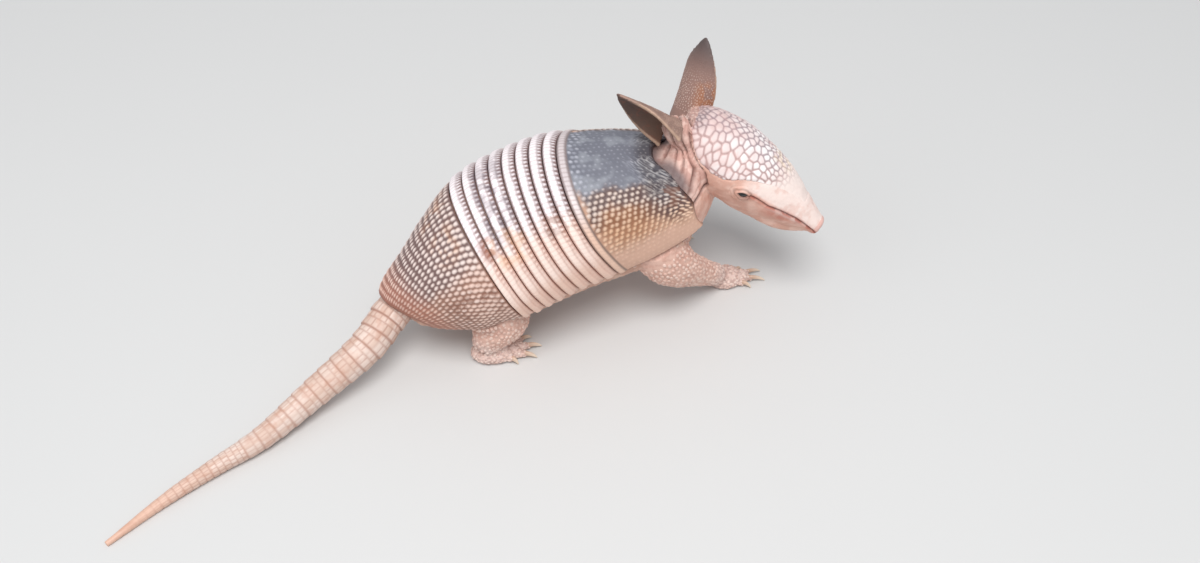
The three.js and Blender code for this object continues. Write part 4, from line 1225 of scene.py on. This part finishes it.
# One kind of scale on its roots, as points, faces, map places and marks
def domes(roots, ahead, kind, chart, lift):
    _, long, wide, high = scales[kind]
    up = skinNormals[roots]
    ahead = unit(ahead - up * (ahead * up).sum(-1, keepdims=True))
    aside = np.cross(up, ahead)
    turn = np.linspace(0, 2 * np.pi, dome["sides"], False)
    size = (1 + dice.normal(0, 0.1, len(roots)).clip(-0.25, 0.25))[:, None, None]
    rings = [np.stack([r * np.cos(turn), r * np.sin(turn), h + 0 * turn], -1) for r, h in dome["rings"]]
    flat = np.concatenate([*rings, [(0, 0, 1)]])
    tilt = dome["tilt"] * np.clip(flat[:, 0], -1, 1) * (flat[:, 2] > 0)
    points = (skinSpots[roots][:, None] + ahead[:, None] * (flat[:, 0] * long)[:, None] * size
              + aside[:, None] * (flat[:, 1] * wide)[:, None] * size
              + up[:, None] * ((flat[:, 2] + tilt) * high)[:, None])
    top = len(flat) - 1
    ring = wrap(np.arange(top).reshape(len(rings), -1))
    one = quads(ring).tolist() + [[a, b, top] for a, b in zip(ring[-1].tolist(), ring[-1][1:].tolist())]
    one += [ring[0, :-1][::-1].tolist()]
    order = np.concatenate(one)
    starts = range(0, len(roots) * len(flat), len(flat))
    faces = [[number + start for number in face] for start in starts for face in one]
    uvs = (chart[:, None] + flat[order, :2] * dome["patch"]).reshape(-1, 2)
    marks = {key: np.repeat(values[roots], len(flat)) for key, values in skinMasks.items()}
    marks["lift"] = np.repeat(lift * np.ones(len(roots)), len(flat))
    marks["tone"] = np.repeat(dice.random(len(roots)), len(flat))
    return points.reshape(-1, 3), faces, uvs, marks


def joinScales(name, groups):
    start, faces = 0, []
    for points, sides, _, _ in groups:
        faces += [[number + start for number in side] for side in sides]
        start += len(points)
    marks = {key: np.concatenate([group[3][key] for group in groups]) for key in groups[0][3]}
    piece = makeMesh(name, np.concatenate([group[0] for group in groups]), faces, marks,
                     np.concatenate([group[2] for group in groups]))
    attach(piece, "root")


def limbStrip(number, angle):  # each limb has a quarter of the map's width
    return (number + 0.06 + 0.88 * (angle / 2 / np.pi + 0.5)) / len(legs)


def limbScales():
    onLeg, onPaw = (skinPart == parts.index(name) for name in ("leg", "paw"))
    groups = []
    bare = skinSpots[:, 2] > 0.8
    for number, (leg, (at, heading, paw)) in enumerate(zip(legs, feet)):
        axis = legAxis(*leg)
        mine = skinReading[:, 2] == number
        roots = scatter(onLeg & mine & bare & (skinReading[:, 0] > 0.2), scales["leg"][0])
        share, around = skinReading[roots, 0], skinReading[roots, 1]
        t = np.interp(share * axis.length, axis.lengths, axis.steps)
        chart = np.stack([limbStrip(number, around), 0.03 + 0.55 * share], -1)
        groups.append(domes(roots, axis.at(t, True)[:, :3], "leg", chart, 0.5))
        roots = scatter(onPaw & mine & bare & (skinNormals[:, 2] > -0.3), scales["foot"][0])
        local = turnFlat(skinSpots[roots] - (*at, pawLift), -heading)
        reach = (local[:, 0] + paw["length"]) / (2 * paw["length"] + 4)
        around = np.arctan2(local[:, 1], local[:, 2])
        chart = np.stack([limbStrip(number, around), 0.62 + 0.34 * np.clip(reach, 0, 1)], -1)
        ahead = np.tile(turnFlat(np.array([(1.0, 0, -0.3)]), heading), (len(roots), 1))
        groups.append(domes(roots, ahead, "foot", chart, 0.6))
    joinScales("limbScales", groups)


def earScales():
    groups = []
    along, across, face = skinReading.T
    clear = (skinPart == parts.index("ear")) & (skinMasks["hollow"] < 0.5) & (along > 0.03) & (along < 0.72)
    clear &= np.abs(across) < 0.86
    for number, one in enumerate(ears):
        roots = scatter(clear & (np.floor(face / 2) == number), scales["ear"][0])
        strip = (number + 0.08 + 0.42 * (across[roots] + 1)) / len(ears)
        chart = np.stack([strip, 0.03 + 0.94 * along[roots]], -1)
        lift = one["pale"] * (1 - rise(along[roots], 0.3, 0.7))
        groups.append(domes(roots, np.tile(one["tip"], (len(roots), 1)), "ear", chart, lift))
    joinScales("earScales", groups)


def bodyScales():
    roots = scatter(skinMasks["nape"] > 0.5, scales["nape"][0])
    chart = np.stack([0.5 + skinPlace[roots, 1] / 400, 0.02 + 0.3 * (skinPlace[roots, 0] + 14) / 12], -1)
    nape = domes(roots, np.tile(-headTurn[0], (len(roots), 1)), "nape", chart, 0.4)
    low = np.abs(skinReading[:, 1]) > math.radians(body["halfAngle"] + 6)
    roots = scatter((skinPart == parts.index("trunk")) & low, scales["belly"][0])
    ahead = trunkAxis.at(skinReading[roots, 0], True)[:, :3]
    around = skinReading[roots, 1] % (2 * np.pi) / (2 * np.pi)
    chart = np.stack([0.02 + 0.96 * skinReading[roots, 0], 0.7 + 0.28 * around], -1)
    joinScales("bodyScales", [nape, domes(roots, -ahead, "belly", chart, 0.4)])


limbScales()
earScales()
bodyScales()
print("scales made")


# Materials

def tint(red, green, blue):  # a screen colour from 0 to 255, as the shader wants it
    shares = (c / 255 for c in (red, green, blue))
    return tuple(c / 12.92 if c < 0.04 else ((c + 0.055) / 1.055) ** 2.4 for c in shares)


class Wire:  # a socket that can be used in sums
    def __init__(self, paint, socket):
        self.paint, self.socket = paint, socket

    def __add__(self, other):
        return self.paint.work("ADD", self, other)

    def __sub__(self, other):
        return self.paint.work("SUBTRACT", self, other)

    def __rsub__(self, other):
        return self.paint.work("SUBTRACT", other, self)

    def __mul__(self, other):
        return self.paint.work("MULTIPLY", self, other)

    def __abs__(self):
        return self.paint.work("ABSOLUTE", self, 0)

    __radd__, __rmul__ = __add__, __mul__


class Paint:
    def __init__(self, name):
        self.material = bpy.data.materials.new(name)
        self.material.use_nodes = True
        self.tree = self.material.node_tree
        self.shader = self.tree.nodes["Principled BSDF"]

    def feed(self, socket, value):
        if isinstance(value, Wire):
            self.tree.links.new(value.socket, socket)
        elif socket.type == "RGBA":
            socket.default_value = (*value[:3], 1) if isinstance(value, tuple) else (value, value, value, 1)
        elif socket.type == "VECTOR" and not isinstance(value, tuple):
            socket.default_value = (value, value, value)
        else:
            socket.default_value = value

    def node(self, kind, settings=None, values=None, output=0):
        made = self.tree.nodes.new(kind)
        for key, value in (settings or {}).items():
            setattr(made, key, value)
        for key, value in (values or {}).items():
            self.feed(made.inputs[key], value)
        return Wire(self, made.outputs[output])

    def work(self, kind, first, second):
        kinds = [v.socket.type if isinstance(v, Wire) else type(v) for v in (first, second)]
        wide = any(one in (tuple, "RGBA", "VECTOR") for one in kinds)
        sort = "ShaderNodeVectorMath" if wide else "ShaderNodeMath"
        return self.node(sort, {"operation": kind}, {0: first, 1: second})

    def reading(self, name):
        return self.node("ShaderNodeAttribute", {"attribute_name": name}, output=2)

    def place(self):
        return self.node("ShaderNodeTexCoord", output=3)

    def noise(self, size, detail=2.0, stretch=(1.0, 1.0, 1.0)):  # about 0.25 to 0.75, size in millimetres
        values = {"Vector": self.place() * stretch, "Scale": 1000 / size, "Detail": detail, "Roughness": 0.55}
        return self.node("ShaderNodeTexNoise", {}, values)

    def patch(self, size, low=0.45, high=0.6, **more):
        return self.rise(self.noise(size, **more), low, high)

    def rise(self, value, low, high):
        return self.node("ShaderNodeMapRange", {"interpolation_type": "SMOOTHSTEP"},
                         {"Value": value, "From Min": low, "From Max": high})

    def between(self, value, low, high, soft):  # 1 from low to high, with soft ends
        return self.rise(value, low - soft, low + soft) * (1 - self.rise(value, high - soft, high + soft))

    def mix(self, amount, first, second):
        return self.node("ShaderNodeMix", {"data_type": "RGBA"}, {0: amount, 6: first, 7: second}, output=2)

    def finish(self, colour, roughness, height=None, depth=0.05, more=None):
        self.feed(self.shader.inputs["Base Color"], colour)
        self.feed(self.shader.inputs["Roughness"], roughness)
        if height is not None:
            values = {"Height": height, "Distance": depth * mm, "Strength": 1.0}
            self.feed(self.shader.inputs["Normal"], self.node("ShaderNodeBump", {}, values))
        for key, value in (more or {}).items():
            self.feed(self.shader.inputs[key], value)
        return self.material


def shoulderPaint():
    p = Paint("slate shoulder shield")
    raised, line, tone, along = (p.reading(key) for key in ("raised", "line", "tone", "along"))
    side = abs(p.reading("around")) * 180
    mottle = p.noise(5.0, detail=4.0)
    wander = side + (mottle - 0.5) * 26
    slate = 1 - p.rise(wander, 31, 41)
    net, lower = 1 - p.rise(wander - p.rise(along, 0.76, 0.9) * 12, 60, 80), p.rise(wander, 84, 100)
    rim = 1 - p.rise(along, 0.648, 0.656)
    # painted shadow of the ears: the top of the shield's front is darker and greyer
    front = p.rise(along, 0.83, 0.88) * (1 - p.rise(side, 44, 66))
    amber = p.between(along + (mottle - 0.5) * 0.1, 0.67, 0.83, 0.05) * p.between(wander, 52, 86, 8)
    ground = p.mix(lower, tint(198, 156, 132), tint(212, 170, 148))
    ground = p.mix(net * p.rise(along + (tone - 0.5) * 0.02, 0.65, 0.67), ground, tint(92, 68, 64))
    ground = p.mix(amber * 0.75, ground, tint(150, 98, 64))
    ground = p.mix(slate, ground, p.mix(p.patch(7.0), tint(114, 115, 125), tint(142, 144, 152)))
    ground = p.mix(front * 0.85, ground, tint(66, 60, 66))
    bead = p.mix(lower, tint(232, 196, 170), tint(222, 182, 160))
    bead = p.mix(p.between(wander, 34, 66, 8), bead, tint(222, 202, 190))
    bead = p.mix(amber * 0.6, bead, tint(218, 172, 132))
    bead = p.mix(slate, bead, p.mix(p.rise(tone, 0.1, 0.9), tint(150, 152, 164), tint(196, 196, 206)))
    bead = p.mix(front * 0.75, bead, tint(204, 198, 194))
    colour = p.mix(raised, ground, bead)
    lip = p.mix(p.rise(side, 42, 70), tint(230, 216, 214), tint(234, 196, 174))
    edge = p.mix(raised, tint(120, 98, 90), lip)
    edge = p.mix(slate * 0.3, edge, tint(164, 158, 166))
    edge = p.mix(line * 0.6, edge, tint(138, 112, 108))
    colour = p.mix(rim, colour, edge)
    streaks = p.patch(1.5, 0.5, 0.62, stretch=(0.35, 1.0, 1.0))
    streaks = streaks * p.rise(along, 0.84, 0.9) * p.between(side, 44, 88, 8)
    colour = p.mix(streaks * 0.6, colour, tint(126, 80, 58))
    colour = colour * (0.93 + 0.14 * mottle)
    grain = p.noise(0.5, detail=3.0)
    return p.finish(colour, 0.4 + 0.22 * grain, grain, 0.03)


# Stains of the bands: shares of the trunk and degrees around it with their soft ends, the patches that break
# them up, how strong they are, how much of that the ribs lose, and their colour
stains = [
    ((0.36, 0.455, 0.02), (-46, 20, 10), (3.0, 0.42, 0.56), 0.75, 0.45, (112, 98, 106)),
    ((0.315, 0.36, 0.012), (-52, -38, 5), (2.4, 0.38, 0.52), 0.75, 0.0, (150, 86, 62)),
    ((0.52, 0.61, 0.015), (-58, -38, 6), (2.0, 0.42, 0.56), 0.5, 0.0, (140, 98, 80)),
    ((0.345, 0.46, 0.02), (-62, -38, 6), (3.5, 0.4, 0.6), 0.4, 0.0, (228, 172, 124)),
]


def palePaint():
    p = Paint("pale bands and hip shield")
    raised, line, tone, along = (p.reading(key) for key in ("raised", "line", "tone", "along"))
    around = p.reading("around") * 180
    side = abs(around)
    mottle = p.noise(6.0, detail=4.0)
    wander = side + (mottle - 0.5) * 22
    hip = 1 - p.rise(along, 0.2965, 0.2985)
    low = p.rise(wander, 38, 60)
    # bands
    rib = p.mix(low, tint(254, 244, 246), tint(252, 228, 216))
    rib = p.mix(p.rise(wander, 78, 100), rib, tint(236, 200, 182))
    # dip: the ground between the comb's teeth and before the next rib, partly the skin's own brown and partly
    # painted shadow of the overlapping band
    dip = p.mix(low, tint(134, 110, 110), tint(198, 156, 142))
    band = p.mix(raised, dip, rib)
    band = p.mix(line * (0.5 - 0.2 * low), band, tint(164, 132, 124))
    for shares, degrees, patch, amount, offRibs, stained in stains:
        stain = p.between(along, *shares) * p.between(around, *degrees) * p.patch(*patch)
        band = p.mix(stain * amount * (1 - offRibs * raised), band, tint(*stained))
    # hip
    bead = p.mix(low, tint(240, 220, 212), tint(236, 204, 190))
    bead = p.mix(p.rise(tone, 0.55, 1.0) * 0.35, bead, tint(244, 230, 224))
    net = p.mix(low, tint(114, 88, 84), tint(148, 108, 92))
    root = 1 - p.rise(along + (mottle - 0.5) * 0.05, 0.05, 0.12)
    bead = p.mix(root * 0.6, bead, tint(226, 178, 156))
    net = p.mix(root * 0.7, net, tint(174, 112, 92))
    warm = p.between(along, 0.2, 0.27, 0.03) * p.between(side, 6, 34, 8) * p.patch(4.0, 0.44, 0.6)
    bead = p.mix(warm * 0.5, bead, tint(232, 182, 140))
    net = p.mix(warm * 0.5, net, tint(160, 106, 76))
    # painted shade of the fold where the hip shield's lower edge lies over the thigh, laid on as brown
    # streaks
    streak = p.between(along, 0.12, 0.285, 0.02) * p.between(side, 62, 92, 8)
    streak = streak * p.patch(2.6, 0.48, 0.6, stretch=(1.0, 0.4, 1.0))
    shield = p.mix(raised, net, bead)
    shield = p.mix(streak * 0.65, shield, tint(132, 86, 68))
    shield = p.mix(line * 0.5, shield, tint(140, 108, 98))
    colour = p.mix(hip, band, shield) * (0.93 + 0.14 * mottle)
    grain = p.noise(0.5, detail=3.0)
    return p.finish(colour, 0.4 + 0.22 * grain, grain, 0.03)


def headPaint():
    p = Paint("head shield plates")
    line, tone, along = (p.reading(key) for key in ("line", "tone", "along"))
    along = along * 40
    side = abs(p.reading("around")) * 180
    mottle = p.noise(5.0, detail=4.0)
    plate = p.mix(p.rise(tone, 0.1, 0.9), tint(240, 222, 219), tint(252, 244, 242))
    plate = p.mix(p.rise(along + 6 * mottle, 20, 28), plate, tint(248, 230, 222))
    groove = p.mix(p.rise(side, 20, 60), tint(146, 122, 130), tint(166, 126, 122))
    plate = p.mix(1 - p.rise(along + 6 * mottle, 2, 14), plate, tint(226, 202, 198))
    rear = (1 - p.rise(along + (mottle - 0.5) * 5, -4.5, -1.5)) * (1 - p.rise(side, 40, 60))
    plate = p.mix(rear * 0.5, plate, tint(186, 166, 166))
    groove = p.mix(rear * 0.6, groove, tint(110, 96, 100))
    snout = p.rise(along + 4 * mottle, 21, 30)
    colour = p.mix(line * (0.85 - 0.62 * snout), plate, groove)
    colour = p.mix(p.patch(4.5, 0.5, 0.68) * (0.25 - 0.15 * snout), colour, tint(214, 170, 162))
    cream = p.between(along, 17, 24, 2.5) * (1 - p.rise(side, 14, 34)) * p.patch(3.0)
    colour = p.mix(cream * 0.35, colour, tint(238, 216, 176))
    grain = p.noise(0.4, detail=3.0)
    return p.finish(colour * (0.96 + 0.08 * mottle), 0.36 + 0.2 * grain, grain, 0.025)


def tailPaint():
    p = Paint("tail rings")
    line, tone, along = (p.reading(key) for key in ("line", "tone", "along"))
    mottle = p.noise(4.0, detail=4.0)
    scute = p.mix(p.rise(tone, 0.1, 0.9), tint(214, 184, 168), tint(228, 206, 194))
    scute = p.mix(p.rise(along, 0.6, 0.95), scute, tint(222, 180, 158))
    groove = p.mix(p.rise(along, 0.02, 0.3), tint(150, 92, 72), tint(176, 126, 108))
    colour = p.mix(line * 0.8, scute, groove)
    colour = p.mix(p.patch(3.0, 0.5, 0.64) * 0.3, colour, tint(196, 142, 118))
    grain = p.noise(0.4, detail=3.0)
    return p.finish(colour * (0.94 + 0.12 * mottle), 0.42 + 0.2 * grain, grain, 0.03)


def skinPaint(name, scaly=False):
    p = Paint(name)
    dark, red, hollow, neck, earAlong, earAcross = (
        p.reading(key) for key in ("dark", "red", "hollow", "neck", "earAlong", "earAcross"))
    mottle = p.noise(5.0, detail=4.0)
    colour = p.mix(p.patch(3.5, 0.42, 0.62), tint(214, 166, 148), tint(226, 186, 170))
    for area, amount, spread, low, high in (
            ("neck", 0.8, (2.4, 0.42, 0.6), (206, 160, 148), (232, 196, 184)),
            ("belly", 1.0, (4.0, 0.45, 0.6), (200, 156, 136), (218, 180, 160)),
            ("leg", 1.0, (2.0, 0.4, 0.6), (206, 162, 146), (220, 180, 164)),
            ("paw", 1.0, (1.2, 0.42, 0.6), (196, 164, 154), (226, 198, 188)),
            ("muzzle", 0.92, (3.0, 0.45, 0.65), (246, 226, 218), (238, 208, 198))):
        mixed = p.mix(p.patch(*spread), tint(*low), tint(*high))
        colour = p.mix(p.reading(area) * amount, colour, mixed)
    colour = p.mix(p.reading("nose") * 0.8, colour, tint(226, 176, 164))
    colour = p.mix(red * (0.45 + 0.45 * p.patch(2.2, 0.4, 0.58)), colour, tint(186, 108, 92))
    # ears
    far = p.reading("farEar")
    near = p.mix(p.patch(2.5, 0.42, 0.6), tint(144, 114, 102), tint(162, 130, 116))
    outside = p.mix(far, near, p.mix(p.rise(earAlong, 0.45, 0.95), tint(148, 116, 106), tint(88, 74, 72)))
    # the ear's inside is darker: partly its own darker skin, partly painted shade in the hollow
    inside = p.mix(p.rise(earAlong, 0.2, 0.8), tint(110, 82, 68), tint(92, 72, 64))
    veins = 1 - p.rise(abs(p.noise(3.0, detail=1.0) - 0.5), 0.0, 0.03)
    inside = p.mix(veins * 0.35, inside, tint(136, 78, 60))
    rust = far * (1 - hollow) * p.between(earAlong, 0.12, 0.46, 0.08) * p.patch(3.0, 0.36, 0.5)
    rust = rust * (1 - p.rise(earAcross, -0.6, -0.1))
    tone = p.mix(rust * 0.7, outside, tint(172, 112, 74))
    tone = p.mix(hollow, tone, inside)
    lip = p.rise(abs(earAcross), 0.86, 0.97) * p.between(earAlong, 0.06, 0.8, 0.08)
    tone = p.mix(lip * 0.6, tone, tint(206, 172, 148))
    colour = p.mix(p.reading("ear"), colour, tone)
    # nape colour; painted shade ahead of the shoulder shield; painted shade in creases, the mouth, lid slits
    # and nostrils
    nape = p.mix(p.patch(2.0), tint(162, 130, 128), tint(190, 158, 152))
    colour = p.mix(p.reading("nape") * 0.6, colour, nape)
    colour = p.mix(p.reading("shieldShade") * 0.85, colour, tint(92, 80, 82))
    colour = p.mix(dark * 0.8, colour, p.mix(neck, tint(92, 60, 54), tint(92, 54, 46)))
    if scaly:
        pale = p.mix(p.rise(p.reading("tone"), 0.1, 0.9), tint(224, 192, 178), tint(242, 222, 210))
        colour = p.mix(p.reading("lift"), colour, pale)
    colour = colour * (0.92 + 0.16 * mottle)
    fine = p.node("ShaderNodeTexVoronoi", {"feature": "SMOOTH_F1"},
                  {"Vector": p.place(), "Scale": 1500.0, "Smoothness": 0.4})
    grain = p.noise(0.35, detail=3.0) * 0.5 - p.rise(fine, 0.1, 0.7) * 0.5
    return p.finish(colour, 0.5 + 0.2 * p.noise(1.5), grain, 0.05)


def eyePaint():
    p = Paint("dark eye")
    gaze = p.reading("gaze")
    colour = p.mix(p.rise(gaze, 0.86, 0.92), tint(64, 38, 26), tint(9, 7, 7))
    colour = p.mix(p.rise(gaze, 0.3, 0.55), tint(150, 110, 98), colour)
    return p.finish(colour * (0.8 + 0.4 * p.noise(0.5)), 0.06 + 0.06 * p.noise(0.8),
                    more={"Coat Weight": 1.0, "Coat Roughness": 0.03})


def clawPaint():
    p = Paint("horn claws")
    tip = p.reading("tip")
    colour = p.mix(p.rise(tip, 0.2, 0.9), tint(196, 160, 138), tint(232, 212, 190))
    streak = p.noise(0.5, detail=3.0, stretch=(0.3, 1.0, 1.0))
    return p.finish(colour * (0.88 + 0.24 * streak), 0.28 + 0.15 * streak, streak, 0.02)


def floorMaterial():
    p = Paint("studio floor")
    cloud = p.noise(60.0, detail=3.0)
    return p.finish(p.mix(cloud, stage["floor"], tuple(c * 0.985 for c in stage["floor"])), 0.6 + 0.1 * cloud)


def dress(names, material):
    for name in names:
        mesh = bpy.data.objects[name].data
        mesh.materials.clear()
        mesh.materials.append(material)


dress(["shoulderShield"], shoulderPaint())
dress([f"band{k + 1}" for k in range(shell["bands"])] + ["hipShield"], palePaint())
dress(["headShield"], headPaint())
dress(["tailRings"], tailPaint())
dress(["skin"], skinPaint("bare skin"))
dress(["limbScales", "earScales", "bodyScales"], skinPaint("scaly skin", True))
dress(["eyeLeft", "eyeRight"], eyePaint())
dress(["claws"], clawPaint())
print("materials set")


# Floor, light and camera

stage = {
    "floor": (0.66, 0.655, 0.645), "floorSize": 6.0, "sky": (0.93, 0.96, 1.0), "skyStrength": 0.52,
    # place, size and power of a lamp
    "key": ((0.05, -0.3, 0.85), 0.5, 6.2), "fill": ((-0.7, -0.3, 0.6), 0.8, 1.2),
}


def lookAt(piece, target):
    piece.rotation_euler = (Vector(target) - piece.location).to_track_quat("-Z", "Y").to_euler()


def makeLamp(name, target, place, size, power):
    lamp = bpy.data.lights.new(name, "AREA")
    lamp.shape, lamp.size, lamp.energy = "DISK", size, power
    piece = bpy.data.objects.new(name, lamp)
    piece.location = place
    bpy.context.scene.collection.objects.link(piece)
    lookAt(piece, target)


def makeStage():
    bpy.ops.mesh.primitive_plane_add(size=stage["floorSize"], location=(0, 0, 0))
    floor = bpy.context.object
    floor.name = "floor"
    floor.data.materials.append(floorMaterial())
    floor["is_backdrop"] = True
    low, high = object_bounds()
    middle = (low + high) / 2
    makeLamp("keyLamp", middle, *stage["key"])
    makeLamp("fillLamp", middle, *stage["fill"])
    world = bpy.data.worlds.new("studio")
    world.use_nodes = True
    sky = world.node_tree.nodes["Background"]
    sky.inputs["Color"].default_value = (*stage["sky"], 1)
    sky.inputs["Strength"].default_value = stage["skyStrength"]
    bpy.context.scene.world = world
    bpy.context.scene.view_settings.view_transform = "Standard"


view = {"elevation": 48, "distance": 0.347, "lens": 37.5, "target": (0.0194, 0.027, 0.028),
        "seenAt": (560, 225), "picture": (1200, 563), "focal": 1250}


def makeCamera():
    tilt = math.radians(view["elevation"])
    back = Vector((0, -math.cos(tilt), math.sin(tilt)))
    upward = Vector((0, math.sin(tilt), math.cos(tilt)))
    across, down = ((seen - full / 2) / view["focal"] * view["distance"]
                    for seen, full in zip(view["seenAt"], view["picture"]))
    lens = bpy.data.cameras.new("camera")
    lens.sensor_width, lens.lens, lens.clip_start, lens.clip_end = 36, view["lens"], 0.01, 20
    camera = bpy.data.objects.new("camera", lens)
    shift = upward * down - Vector((across, 0, 0))
    camera.location = Vector(view["target"]) + back * view["distance"] + shift
    camera.rotation_euler = back.to_track_quat("Z", "Y").to_euler()
    bpy.context.scene.collection.objects.link(camera)
    bpy.context.scene.camera = camera


makeStage()
makeCamera()
print("stage, lights and camera set")
